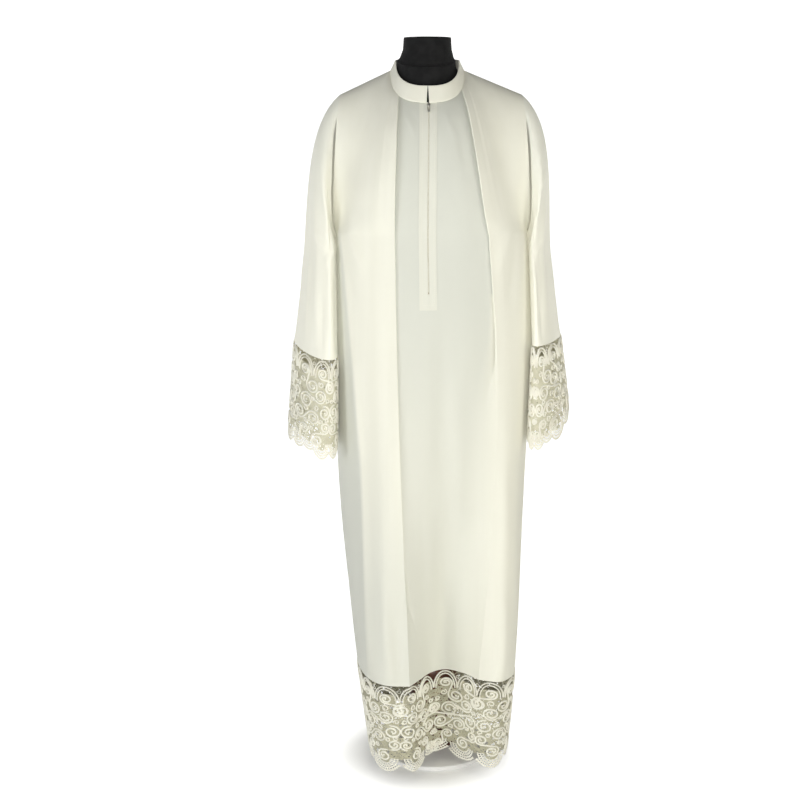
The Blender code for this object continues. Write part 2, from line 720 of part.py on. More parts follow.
def sleeve_rows(table, tip, foot):
    outward = 1.0 if tip[0] > 0 else -1.0
    turns = sleeve_turns(outward)
    head = armhole_ring(tip, foot, turns, CLOTH / 2 + 2 * SEAM_GAP)
    upper, cuff = (sleeve_ring(row, turns) for row in table[:2])
    rows = []
    for t in (0.0, 0.08, 0.2, 0.36, 0.56, 0.78, 1.0):
        row = []
        for turn, start, end in zip(turns, head, upper):
            top = (1 + math.cos(turn)) / 2
            ahead = math.sin(turn)
            out = np.array((outward * (0.15 + 0.65 * top), -0.4 * ahead, -0.85 + 0.2 * top))
            out *= 150.0 + 170.0 * top
            fall = np.array((outward * 0.08, 0.0, -1.0)) * (120.0 + 120.0 * top)
            row.append(
                start * (2 * t**3 - 3 * t**2 + 1)
                + end * (3 * t**2 - 2 * t**3)
                + out * (t**3 - 2 * t**2 + t)
                + fall * (t**3 - t**2)
            )
        rows.append(row)
    for t in (0.33, 0.66, 1.0):
        rows.append(list(upper + (cuff - upper) * t))
    return np.array(rows)


def cuff_grid(table, outward):
    """Middle points of a whole cuff's lace, a column for each side of its gaps."""
    turns = np.linspace(0.0, 2 * math.pi, 2 * CUFF_COLUMNS, endpoint=False)
    turns = turns if outward < 0 else -turns
    seam, tips = (sleeve_ring(row, turns) for row in table[1:])
    seam = seam - np.array((0.0, 0.0, SEAM_GAP))
    rows = [seam + (tips - seam) * t for t in np.linspace(0.0, 1.0, CUFF_ROWS + 1)]
    rows[-1][1::2, 2] += CUFF_NOTCH
    return np.array(rows)


def add_sleeves(cloth, lace):
    foot_left = np.append(front_section(UNDERARM)[0], UNDERARM)
    foot_right = np.append(front_section(UNDERARM)[-1], UNDERARM)
    for side, table, tip, foot in (
        ("left", SLEEVE_LEFT, TIP_LEFT, foot_left),
        ("right", SLEEVE_RIGHT, TIP_RIGHT, foot_right),
    ):
        rows = sleeve_rows(table, tip, foot)
        wall(f"{side}_sleeve", rows, CLOTH, cloth, closed=True)
        grid = cuff_grid(table, 1.0 if tip[0] > 0 else -1.0)
        around = np.concatenate((grid, grid[:, :1]), axis=1)
        half = CUFF_COLUMNS
        names = ("front", "back") if side == "left" else ("back", "front")
        for name, strip in zip(names, (around[:, : half + 1], around[:, half:])):
            first, last = strip[:, 0], strip[:, -1]
            strip = strip.copy()
            strip[:, 0] = first + (strip[:, 1] - first) * (SEAM_GAP / 30)
            strip[:, -1] = last + (strip[:, -2] - last) * (SEAM_GAP / 30)
            wall(f"{side}_cuff_lace_{name}", strip, LACE, lace, gap_shape=cuff_gap)


def cuff_gap(row, column):
    """One gap a repeat, staggered from row to row."""
    if (row + column) % 2:
        return None
    return GAPS["arch" if row == 0 else "fan" if row == CUFF_ROWS - 1 else "scroll"]


def hem_gap(row, column):
    if row == 2 and column % 2:
        return None
    return GAPS[("arch", "scroll", "fan")[row]]


def hem_grid(section_at):
    """Middle points of half of the hem's lace."""
    rows = []
    for z in HEM_ROWS + (HEM_TIP,):
        curve = section_at(z)
        total = lengths_along(curve)[-1]
        row = even_places(curve, HEM_COLUMNS + 1, SIDE_SEAM, total - SIDE_SEAM)
        level = np.full(len(row), z)
        if z == HEM_SEAM:
            level -= SEAM_GAP
        if z == HEM_TIP:
            level[::2] += SCALLOP_NOTCH
        rows.append(np.column_stack((row, level)))
    return np.array(rows)


def add_hem(lace):
    wall("hem_lace_front", hem_grid(front_section), LACE, lace, gap_shape=hem_gap)
    wall("hem_lace_back", hem_grid(back_section), LACE, lace, gap_shape=hem_gap)


# --- The form -----------------------------------------------------------------------------------


def turned(name, profile, round_count, finish, centre=(0.0, 0.0)):
    """A solid of revolution about the vertical through centre, from heights and radii in mm."""
    vertices = []
    for z, radius in profile:
        for turn in np.linspace(0.0, 2 * math.pi, round_count, endpoint=False):
            vertices.append(
                (centre[0] + radius * math.cos(turn), centre[1] + radius * math.sin(turn), z)
            )
    return ringed(name, np.array(vertices) * MM, len(profile), round_count, finish)


def ringed(name, vertices, ring_count, round_count, finish):
    """A closed solid through rings that go anticlockwise and upward, with flat ends."""
    faces = [list(range(round_count))[::-1]]
    faces.append([(ring_count - 1) * round_count + i for i in range(round_count)])
    for ring in range(ring_count - 1):
        for i in range(round_count):
            j = (i + 1) % round_count
            low, high = ring * round_count, (ring + 1) * round_count
            faces.append([low + i, low + j, high + j, high + i])
    return add_object(name, vertices, faces, finish, 40.0)


def form_ring(row):
    """One of the torso's rings: its sides, front and back lie at three heights."""
    _, x, half, front, back, z_side, z_front, z_back = row
    points = []
    for turn in np.linspace(0.0, 2 * math.pi, FORM_ROUND, endpoint=False):
        c, s = math.cos(turn), math.sin(turn)
        depth, level = (back, z_back) if s > 0 else (front, z_front)
        z = z_side + (level - z_side) * abs(s) ** FORM_DROP
        points.append((x + half * c, depth * s, z))
    return points


def add_form(jersey, wood, painted):
    rings = np.array([point for row in FORM_RINGS for point in form_ring(row)])
    ringed("form_torso", world(rings), len(FORM_RINGS), FORM_ROUND, jersey)
    turned("form_post", [(z, r) for _, z, r in POST_PROFILE], POST_ROUND, wood)
    plate = (
        (0.0, BASE_RADIUS - BASE_EDGE),
        (BASE_EDGE, BASE_RADIUS),
        (BASE_THICK - BASE_EDGE, BASE_RADIUS),
        (BASE_THICK, BASE_RADIUS - BASE_EDGE),
    )
    turned("form_base", plate, BASE_ROUND, painted)


# --- Zip slider and its pull tab ----------------------------------------------------------------


def slider_frame(front):
    """Where the slider sits on the placket: its middle, and the ways across, down and out."""
    line = (front[:4, ZIP_COLUMN] + front[:4, ZIP_COLUMN + 1]) / 2
    down = line[1] - line[0]
    down /= np.linalg.norm(down)
    across = np.array((1.0, 0.0, 0.0))
    out = np.cross(down, across)
    out /= np.linalg.norm(out)
    face = CLOTH / 2 + SEAM_GAP + PLACKET_CLOTH
    middle = line[0] + down * SLIDER_DROP + out * (face + SEAM_GAP + SLIDER[2] / 2)
    return middle, across, down, out


def slab(name, outline, thick, frame, finish, eye=None):
    """A flat plate from an outline in its own across, down plane, with an eye through it if given."""
    origin, across, down, out = frame
    vertices, faces = [], []
    loops = [outline] if eye is None else [outline, eye]
    for loop in loops:
        for level in (thick / 2, -thick / 2):
            vertices += [origin + across * u + down * v + out * level for u, v in loop]
    n = len(outline)
    if eye is None:
        faces += [list(range(n)), list(range(2 * n - 1, n - 1, -1))]
    for i in range(n):
        j = (i + 1) % n
        faces.append([j, i, n + i, n + j])
        if eye is not None:
            faces.append([i, j, 2 * n + j, 2 * n + i])
            faces.append([n + j, n + i, 3 * n + i, 3 * n + j])
            faces.append([2 * n + i, 2 * n + j, 3 * n + j, 3 * n + i])
    return add_object(name, world(np.array(vertices)), faces, finish, origin=world(origin))


def add_slider(front, metal):
    middle, across, down, out = slider_frame(front)
    half_width, half_height = SLIDER[0] / 2, SLIDER[1] / 2
    outline = [
        (-half_width, -half_height * 0.6), (-half_width * 0.62, half_height),
        (half_width * 0.62, half_height), (half_width, -half_height * 0.6),
        (half_width * 0.7, -half_height), (-half_width * 0.7, -half_height),
    ]
    slab("zip_slider", outline, SLIDER[2], (middle, across, down, out), metal)
    hinge = middle + out * (SLIDER[2] / 2 + SEAM_GAP + TAB_THICK / 2) + down * (half_height * 0.3)
    outer, eye = [], []
    for turn in np.linspace(0.0, 2 * math.pi, 16, endpoint=False):
        v = (1 - math.cos(turn)) / 2
        width = TAB_WIDTH / 2 * math.sin(turn) * (1.0 - 0.45 * v)
        outer.append((-width, -TAB_ABOVE + (TAB_LENGTH + TAB_ABOVE) * v))
        eye.append((-width * 0.5, TAB_EYE + (TAB_LENGTH * 0.55 - TAB_EYE) * v))
    slab("zip_pull_tab", outer, TAB_THICK, (hinge, across, down, out), metal, eye)


def main():
    for obj in list(bpy.data.objects):
        bpy.data.objects.remove(obj, do_unlink=True)
    cloth = material("Ivory cloth", (0.82, 0.80, 0.70), 0.72)
    lace = material("Cream guipure lace", (0.80, 0.76, 0.64), 0.8)
    tape = material("Zip tape", (0.78, 0.76, 0.66), 0.8)
    chain = material("Zip chain", (0.8, 0.78, 0.7), 0.45)
    metal = material("Nickelled zip metal", (0.62, 0.62, 0.6), 0.3, 1.0)
    jersey = material("Black jersey", (0.015, 0.015, 0.017), 0.85)
    wood = material("Reddish brown wood", (0.19, 0.06, 0.03), 0.4)
    painted = material("White painted steel", (0.85, 0.85, 0.83), 0.4)
    front = add_panels(cloth)
    add_placket(front, cloth, tape, chain)
    add_collar(cloth)
    add_sleeves(cloth, lace)
    add_hem(lace)
    add_slider(front, metal)
    add_form(jersey, wood, painted)


main()
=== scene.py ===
"""The look of the alb robe on its dress form: cloth with its falls and creases, corded lace, zip and stand.

The shapes are in millimetres from the middle of the neck, as the solids' own tables are, and world()
turns them into the frame's metres. Every piece rides on a body of the frame and hides the solid that
it stands for.
"""

import json
import math

import bpy
import numpy as np
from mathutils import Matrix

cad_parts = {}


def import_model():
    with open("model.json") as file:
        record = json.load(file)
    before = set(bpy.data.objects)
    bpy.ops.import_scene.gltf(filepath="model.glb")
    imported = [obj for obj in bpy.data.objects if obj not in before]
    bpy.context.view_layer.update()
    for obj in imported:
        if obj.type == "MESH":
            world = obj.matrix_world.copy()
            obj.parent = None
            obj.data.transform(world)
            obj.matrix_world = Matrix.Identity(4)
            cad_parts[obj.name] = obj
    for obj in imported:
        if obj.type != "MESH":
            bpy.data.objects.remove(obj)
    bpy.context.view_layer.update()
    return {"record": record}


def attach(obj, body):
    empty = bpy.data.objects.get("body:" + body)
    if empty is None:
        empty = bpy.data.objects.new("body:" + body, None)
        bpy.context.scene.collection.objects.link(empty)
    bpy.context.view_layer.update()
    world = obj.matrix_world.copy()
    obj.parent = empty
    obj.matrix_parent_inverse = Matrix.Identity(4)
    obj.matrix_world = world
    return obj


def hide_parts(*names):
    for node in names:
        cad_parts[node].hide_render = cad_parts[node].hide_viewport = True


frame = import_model()

MM = 0.001
NECK_AT = np.array((-20.0, -30.0))
ROBE = "robe_on_form"
TAB = "pull_tab"

# --- Sizes ---

CLOTH = 1.0
PLACKET_CLOTH = 1.0
COLLAR_CLOTH = 2.2
SEAM_GAP = 0.3
LAYER_PITCH = 2.4
HAIRPIN = LAYER_PITCH / 2
LEVELS = (1200.0, 950.0, 700.0, 226.0, 20.0)
UNDERARM, _, _, HEM_SEAM, HEM_TIP = LEVELS

# Each row is a fold of the skirt, as x, y at the five levels, going round from the left side seam
LEFT_SEAM = ("side seam", ((-197, 8), (-197, 17), (-196, 25), (-152, 45), (-118, 40)))
RIGHT_SEAM = ("side seam", ((216, 8), (230, 18), (219, 25), (194, 50), (182, 46)))
FRONT_LEFT = (
    LEFT_SEAM,
    ("side",        ((-191, -40), (-188, -40), (-181, -40), (-152, -22), (-124, -26))),
    ("side fold",   ((-180, -88), (-158, -103), (-139, -114), (-126, -114), (-112, -112))),
    ("crown",       ((-122, -122), (-110, -136), (-100, -148), (-90, -153), (-80, -148))),
    ("pleat edge",  ((-68, -141), (-63, -150), (-55, -158), (-36, -160), (-28, -152))),
)
FRONT_CENTRE = (
    ("left flank",  ((-34, -138), (-29, -145), (-24, -147), (-10, -116), (-4, -112))),
    ("zip",         ((0, -139), (4, -144), (8, -140), (14, -78), (16, -78))),
    ("valley",      ((36, -138), (42, -137), (46, -128), (46, -62), (46, -64))),
    ("right rise",  ((78, -134), (86, -129), (92, -120), (84, -84), (80, -84))),
)
FRONT_RIGHT = (
    ("pleat edge",  ((126, -127), (145, -117), (148, -112), (116, -122), (108, -118))),
    ("crown",       ((160, -107), (176, -99), (186, -98), (160, -134), (148, -130))),
    ("side fold",   ((199, -70), (208, -68), (206, -66), (192, -98), (176, -92))),
    ("side",        ((215, -16), (229, -8), (220, -8), (200, -22), (186, -20))),
    RIGHT_SEAM,
)
BACK_RIGHT = (
    RIGHT_SEAM,
    ("side",        ((206, 62), (218, 76), (210, 88), (190, 118), (176, 112))),
    ("crown",       ((150, 104), (157, 122), (160, 140), (140, 170), (128, 162))),
    ("pleat edge",  ((76, 114), (81, 137), (84, 158), (74, 186), (68, 178))),
)
BACK_CENTRE = (
    ("right flank", ((40, 110), (44, 131), (46, 146), (40, 142), (36, 136))),
    ("valley",      ((4, 110), (8, 128), (12, 138), (14, 112), (14, 108))),
    ("left flank",  ((-34, 110), (-31, 131), (-28, 146), (-18, 134), (-14, 130))),
)
BACK_LEFT = (
    ("pleat edge",  ((-70, 114), (-70, 137), (-68, 158), (-54, 178), (-46, 170))),
    ("crown",       ((-138, 104), (-142, 122), (-142, 138), (-112, 152), (-96, 146))),
    ("side",        ((-188, 62), (-192, 74), (-190, 86), (-152, 104), (-122, 98))),
    LEFT_SEAM,
)
# Heights between which each pleat opens, going down
PLEAT_OPENS = {
    "front left": (520.0, 330.0),
    "front right": (1060.0, 800.0),
    "back right": (620.0, 330.0),
    "back left": (560.0, 330.0),
}
# Stations along a pleat: distance back from its edge, depth in layers, and place once it has opened
PLEAT_STATIONS = (
    (28.0, 0.0, 36.0), (14.0, 0.0, 22.0), (HAIRPIN, 0.0, 9.0), (0.0, 0.5, 0.0), (HAIRPIN, 1.0, -6.0),
    (28.0 - HAIRPIN, 1.0, -14.0), (28.0, 1.5, -22.0), (28.0 - HAIRPIN, 2.0, -29.0), (2.0, 2.0, -36.0),
)
PLEAT_LAP = 28.0
PLEAT_ROOM = 40.0
STATION_COLUMNS = 5
# Columns of the side, the middle and the shoulder seam, and steps from one fold of a curve to the next
SIDE_COLUMNS = 40
CENTRE_COLUMNS = 22
SHOULDER_COLUMNS = 20
CURVE_STEPS = 24

# The neckline and the collar's top edge, and how their corners and their heights turn
NECKLINE = dict(half=77.0, front=86.0, back=70.0, z_side=1533.0, z_front=1468.0, z_back=1530.0)
COLLAR_TOP = dict(half=65.5, front=76.0, back=66.0, z_side=1555.0, z_front=1501.0, z_back=1562.0)
NECK_SQUARE = 0.75
NECK_DROP_FRONT = 0.7
NECK_DROP_BACK = 1.6
COLLAR_SLIT_TOP = 0.8
COLLAR_SLIT_FOOT = 4.6
# Degrees round the neckline where the pleats start, and how much their layers lean down going in
NECK_PLEATS = {"front": (137.0, 27.0), "back": (-53.0, -127.0)}
NECK_LEAN = -0.35

TIP_LEFT = (-182.0, 0.0, 1484.0)
TIP_RIGHT = (198.0, 0.0, 1484.0)
ARMHOLE_REACH = 62.0
ARMHOLE_BULGE = 4.0
# How the middle of a panel leaves the neckline, outward and down, and how it arrives at the underarm
FALL_OUT = 0.52
FALL_DOWN = -0.72
FALL_IN = -0.9
# The robe's half width and depth, which give the way out of its cloth
ROBE_HALF = (200.0, 130.0)

# A sleeve's levels: heights at front and back, middle x and y, half width, half depth, turn inward
SLEEVES = {
    "left": (
        ("upper arm", 1152, 1152, -230, 0, 25, 82, 20),
        ("cuff seam", 934, 960, -241, 0, 36, 100, 22),
        ("lace tips", 716, 748, -251, 2, 44, 108, 22),
    ),
    "right": (
        ("upper arm", 1152, 1152, 244, 0, 16, 66, 20),
        ("cuff seam", 962, 968, 262, 0, 22, 88, 20),
        ("lace tips", 728, 800, 271, 2, 36, 98, 24),
    ),
}

ZIP_END = 1080.0
PLACKET_FOOT = 1047.0
PLACKET_LEFT = 19.0
PLACKET_RIGHT = 17.0
SLOT_HALF = 1.4
SLIDER = (5.6, 8.0, 2.4)
SLIDER_DOWN = np.array((0.0, -0.527, -0.850))
TAB_LENGTH = 17.0
TAB_WIDTH = 7.0
TAB_THICK = 1.2

FORM_RINGS = (
    ("underside",      20, 138, 92, 96, 780, 780, 780),
    ("cover hem",      20, 152, 103, 106, 784, 784, 784),
    ("hip",            20, 164, 112, 114, 830, 830, 830),
    ("seat",           19, 166, 113, 116, 900, 900, 900),
    ("waist",          16, 146, 100, 96, 1050, 1050, 1050),
    ("ribs",           13, 158, 112, 98, 1160, 1160, 1160),
    ("chest",          10, 168, 120, 100, 1270, 1240, 1250),
    ("armpit",          9, 171, 114, 94, 1350, 1305, 1330),
    ("shoulder side",   8, 172, 104, 84, 1420, 1352, 1395),
    ("shoulder tip",    8, 168, 95, 74, 1470, 1388, 1434),
    ("outer ridge",     8, 157, 88, 68, 1494, 1410, 1458),
    ("middle ridge",    5, 125, 80, 60, 1510, 1433, 1477),
    ("inner ridge",     3, 98, 73, 55, 1520, 1452, 1490),
    ("neck foot",       0, 73, 68, 56, 1527, 1472, 1508),
    ("neck low",       -1, 65, 65, 56, 1534, 1488, 1522),
    ("neck band",      -2, 62, 64, 58, 1541, 1508, 1540),
    ("band edge",      -2, 61, 63, 57, 1554, 1538, 1553),
    ("band lip",       -1, 56.5, 56, 55, 1559, 1542, 1558),
    ("neck",            0, 51, 53, 51, 1576, 1574, 1576),
    ("neck top",        0, 49.5, 51, 50, 1600, 1600, 1600),
)
POST_PROFILE = (
    (10.3, 46), (20, 46), (32, 33), (60, 37), (110, 50), (165, 58), (205, 54), (240, 36), (262, 24),
    (274, 28), (288, 22), (320, 17.5), (779.7, 17.5),
)
BASE_RADIUS = 135.0
BASE_THICK = 10.0

# Passes that round a panel's shoulder, and the rows over which they come in and go out
EASE_PASSES = 70
EASE_IN = 12.0
EASE_OUT = 24.0
EASE_PAST_UNDERARM = 14.0
# Creases fade out over this height at a seam of lace, and over this one below a panel's top edge
CREASE_FADE = 25.0
CREASE_HELD = 30.0
# A crease fades over this share of its length at each end
CREASE_END = 0.3
# Creases, given one by one: where each starts and ends as x, z, its half width and its height outward
FRONT_CREASES = (
    (-182, 1215, -158, 950, 7, 3.0), (-160, 980, -139, 690, 7, 3.5), (-141, 730, -126, 232, 8, 4.0),
    (-72, 1446, -98, 1270, 20, 3.0), (-150, 1400, -126, 1225, 24, -3.0), (-178, 1222, -128, 1120, 12, 4.0),
    (-186, 1180, -150, 1060, 10, -3.0), (-168, 1330, -96, 1190, 18, 2.2), (-60, 960, -74, 560, 18, 3.0),
    (-122, 860, -110, 380, 20, -4.0), (-150, 980, -146, 620, 12, 3.0), (-92, 470, -84, 236, 13, 4.5),
    (-128, 400, -120, 232, 10, 3.0), (-64, 380, -58, 230, 9, -3.0), (26, 1010, 30, 640, 20, -3.0),
    (64, 930, 70, 520, 17, 3.0), (4, 640, 12, 270, 14, 4.0), (38, 470, 44, 240, 10, -3.5),
    (66, 420, 66, 236, 9, 3.0), (-46, 1446, -26, 1404, 5, 1.5), (-36, 1452, -18, 1424, 4, -1.2),
    (34, 1452, 52, 1400, 6, 1.4), (60, 1440, 74, 1340, 9, -1.6), (150, 1400, 138, 1230, 22, -3.0),
    (180, 1226, 142, 1112, 12, 4.0), (190, 1170, 168, 1050, 10, -3.0), (120, 1360, 150, 1180, 18, 2.0),
    (158, 900, 168, 480, 20, 4.0), (186, 760, 182, 320, 15, -4.0), (132, 620, 124, 260, 24, 2.5),
    (172, 420, 168, 232, 10, 3.5), (150, 330, 146, 230, 8, -2.5),
)
BACK_CREASES = (
    (60, 1450, 96, 1280, 20, 3.0), (-60, 1450, -92, 1290, 20, 3.0), (150, 1390, 120, 1220, 22, -3.0),
    (-150, 1390, -122, 1220, 22, -3.0), (184, 1220, 120, 1130, 13, 4.0), (-180, 1220, -118, 1120, 13, 4.0),
    (0, 1420, 6, 1120, 30, -3.0), (110, 980, 120, 520, 18, 4.0), (150, 820, 150, 330, 16, -4.0),
    (30, 1000, 28, 520, 16, 3.0), (-6, 820, 2, 300, 16, -3.5), (-44, 700, -40, 260, 12, 3.5),
    (-100, 960, -96, 420, 18, 4.0), (-136, 760, -128, 300, 14, -4.0), (-160, 560, -140, 236, 11, 3.5),
    (100, 460, 98, 236, 11, 4.0), (170, 520, 166, 240, 11, 3.0),
)
# The same on a sleeve, with degrees round it (0 outer, 90 front, 180 inner, 270 back) and heights
SLEEVE_CREASES = {
    "left": (
        (62, 1400, 98, 1190, 15, 4.0), (118, 1330, 84, 1150, 12, -4.0), (34, 1300, 44, 980, 15, 3.0),
        (84, 1150, 88, 950, 12, 4.0), (112, 1120, 116, 944, 10, -3.0), (58, 1080, 62, 940, 10, -3.0),
        (20, 1210, 70, 1160, 9, 2.5), (60, 1130, 112, 1168, 9, 2.5), (10, 1160, 18, 960, 12, 2.5),
        (300, 1380, 262, 1190, 15, 4.0), (250, 1300, 272, 1120, 13, -4.0), (276, 1140, 280, 960, 12, 4.0),
        (240, 1100, 246, 960, 11, 3.5), (316, 1100, 312, 960, 12, -3.0), (150, 1180, 154, 950, 12, 3.0),
        (162, 1310, 158, 1150, 20, 7.0),
    ),
    "right": (
        (58, 1390, 92, 1200, 14, 4.0), (112, 1320, 80, 1170, 12, -4.0), (40, 1330, 70, 1290, 8, 3.0),
        (52, 1352, 84, 1324, 7, -2.5), (30, 1280, 40, 990, 15, 3.0), (80, 1140, 84, 972, 11, 4.0),
        (110, 1120, 112, 970, 10, -3.5), (56, 1060, 60, 968, 10, -2.5), (24, 1190, 74, 1150, 9, 2.5),
        (302, 1380, 268, 1200, 15, 4.0), (256, 1310, 276, 1130, 13, -4.0), (272, 1130, 278, 975, 12, 4.0),
        (236, 1100, 240, 972, 11, 3.5), (318, 1080, 314, 972, 12, -3.0), (154, 1180, 156, 966, 12, 3.0),
        (162, 1310, 156, 1150, 20, 7.0),
    ),
}


# --- Curves and sections ---


def soft_step(t):
    t = np.clip(t, 0.0, 1.0)
    return t * t * (3.0 - 2.0 * t)


def hermite(a, b, out, back, t):
    """The cubic from a to b that leaves along out and arrives along back."""
    return (
        a * (2 * t**3 - 3 * t**2 + 1)
        + b * (3 * t**2 - 2 * t**3)
        + out * (t**3 - 2 * t**2 + t)
        + back * (t**3 - t**2)
    )


def at_level(values, z):
    values = np.asarray(values, float)
    levels = np.asarray(LEVELS)
    slopes = np.gradient(values, levels, axis=0)
    i = int(np.clip(np.searchsorted(-levels, -z) - 1, 0, len(levels) - 2))
    span = levels[i + 1] - levels[i]
    t = (z - levels[i]) / span
    return hermite(values[i], values[i + 1], slopes[i] * span, slopes[i + 1] * span, t)


def folds_at(table, z):
    return np.array([at_level(places, z) for _, places in table])


def smooth_curve(points, steps=CURVE_STEPS):
    """A dense curve through points, straightened where they are close together."""
    points = np.asarray(points, float)
    padded = np.vstack((2 * points[0] - points[1], points, 2 * points[-1] - points[-2]))
    t = (np.arange(1, steps + 1) / steps)[:, None]
    curve = [points[:1]]
    for a, b, c, d in zip(padded, padded[1:], padded[2:], padded[3:]):
        ta = np.linalg.norm(b - a) ** 0.5 + 1e-9
        tb = np.linalg.norm(c - b) ** 0.5 + 1e-9
        tc = np.linalg.norm(d - c) ** 0.5 + 1e-9
        out = tb * ((b - a) / ta - (c - a) / (ta + tb) + (c - b) / tb)
        back = tb * ((c - b) / tb - (d - b) / (tb + tc) + (d - c) / tc)
        curve.append(hermite(b, c, out, back, t))
    return np.vstack(curve)


def lengths_along(curve):
    return np.concatenate(([0.0], np.cumsum(np.linalg.norm(np.diff(curve, axis=0), axis=1))))


def read_along(along, curve, distances):
    """A curve's values at distances, where along is the distance at each of its points."""
    return np.stack([np.interp(distances, along, axis) for axis in curve.T], axis=-1)


def places_along(curve, distances):
    return read_along(lengths_along(curve), curve, distances)


def even_places(curve, count, start=0.0, end=None):
    end = lengths_along(curve)[-1] if end is None else end
    return places_along(curve, np.linspace(start, end, count))


def neck_ring(ring, angle):
    """A point of the neckline or of the collar's top edge, at an angle from the right towards the front."""
    c, s = math.cos(angle), math.sin(angle)
    out = math.copysign(abs(c) ** NECK_SQUARE, c)
    ahead = math.copysign(abs(s) ** NECK_SQUARE, s)
    if s > 0:
        depth, level, drop = ring["front"], ring["z_front"], NECK_DROP_FRONT
    else:
        depth, level, drop = ring["back"], ring["z_back"], NECK_DROP_BACK
    z = ring["z_side"] + (level - ring["z_side"]) * abs(s) ** drop
    return np.array((ring["half"] * out, -depth * ahead, z))


def neck_arc(start, end, count=60):
    return np.array([neck_ring(NECKLINE, math.radians(a)) for a in np.linspace(start, end, count)])


def pleat_path():
    """Distance back, depth and opened place of a pleat's columns, with round turns."""
    rows = []
    for a, b in zip(PLEAT_STATIONS, PLEAT_STATIONS[1:]):
        turning = a[1] != b[1]
        for t in np.arange(STATION_COLUMNS) / STATION_COLUMNS:
            into, level = t, t
            if turning and a[1] % 1 == 0:
                into, level = math.sin(t * math.pi / 2), 1 - math.cos(t * math.pi / 2)
            elif turning:
                into, level = 1 - math.cos(t * math.pi / 2), math.sin(t * math.pi / 2)
            rows.append((a[0] + (b[0] - a[0]) * into, a[1] + (b[1] - a[1]) * level, a[2] + (b[2] - a[2]) * t))
    return np.array(rows + [PLEAT_STATIONS[-1]])


PLEAT_PATH = pleat_path()


def folded_columns(panel, inward, pitch=1.0):
    """A pleat's columns while folded. panel is the top panel's curve, which ends at the edge."""
    total = lengths_along(panel)[-1]
    columns = []
    for back, depth, _ in PLEAT_PATH:
        here = places_along(panel, total - back)
        ahead = places_along(panel, min(total, total - back + 2.0))
        behind = places_along(panel, total - back - 2.0)
        columns.append(here + inward(ahead - behind) * depth * pitch * LAYER_PITCH)
    return np.array(columns)


def opened_columns(panel, beyond):
    total = lengths_along(panel)[-1]
    return np.array([
        places_along(panel, total - back) if back >= 0 else places_along(beyond, -back)
        for back in PLEAT_PATH[:, 2]
    ])


def pleat_columns(panel, beyond, inward, opened):
    """The columns part of the way open: the layers slide apart before the step between them fades."""
    flat, folded = folded_columns(panel, inward, 0.0), folded_columns(panel, inward, 1.0)
    slid = flat + (opened_columns(panel, beyond) - flat) * opened
    return slid + (folded - flat) * (1.0 - opened**4)


def left_of(direction):
    return np.array((-direction[1], direction[0])) / np.linalg.norm(direction)


def right_of(direction):
    return -left_of(direction)


def centre_columns(across, zip_at, offsets):
    """The columns between two pleats, closer together round the zip."""
    return np.vstack((
        even_places(across, CENTRE_COLUMNS, 0, zip_at + offsets[0])[1:-1],
        places_along(across, zip_at + np.asarray(offsets)),
        even_places(across, CENTRE_COLUMNS + 1, zip_at + offsets[-1])[1:-1],
    ))


def side_columns(curve):
    return even_places(curve, SIDE_COLUMNS, 0, lengths_along(curve)[-1] - PLEAT_ROOM)


def section(first, centre, last, opens, z, offsets):
    """The x, y of every column of a front or back at height z, from side seam to side seam."""
    first_curve = smooth_curve(folds_at(first, z))
    last_curve = smooth_curve(folds_at(last, z)[::-1])
    middle = folds_at(centre, z)
    beyond = smooth_curve(np.vstack((first_curve[-1], middle, last_curve[-1])))
    pleats = []
    for curve, onward, inward, name in (
        (first_curve, beyond, left_of, opens[0]), (last_curve, beyond[::-1], right_of, opens[1])
    ):
        top, foot = PLEAT_OPENS[name]
        pleats.append(pleat_columns(curve, onward, inward, float(soft_step((top - z) / (top - foot)))))
    across = smooth_curve(np.vstack((pleats[0][-1], middle, pleats[1][-1])))
    # the zip, or the back's valley, is the second fold of the middle
    zip_at = lengths_along(across)[2 * CURVE_STEPS]
    return np.vstack((
        side_columns(first_curve), pleats[0], centre_columns(across, zip_at, offsets),
        pleats[1][::-1], side_columns(last_curve)[::-1],
    ))


FRONT_OFFSETS = (-PLACKET_LEFT, -13.0, -8.0, -4.0, -SLOT_HALF, SLOT_HALF, 4.0, 8.0, 12.0, PLACKET_RIGHT)
BACK_OFFSETS = (-12.0, 0.0, 12.0)
ZIP_COLUMN = SIDE_COLUMNS + len(PLEAT_PATH) + CENTRE_COLUMNS - 2 + FRONT_OFFSETS.index(-SLOT_HALF)
BACK_MIDDLE = SIDE_COLUMNS + len(PLEAT_PATH) + CENTRE_COLUMNS - 2 + 1


def front_section(z):
    return section(FRONT_LEFT, FRONT_CENTRE, FRONT_RIGHT, ("front left", "front right"), z, FRONT_OFFSETS)


def back_section(z):
    return section(BACK_RIGHT, BACK_CENTRE, BACK_LEFT, ("back right", "back left"), z, BACK_OFFSETS)


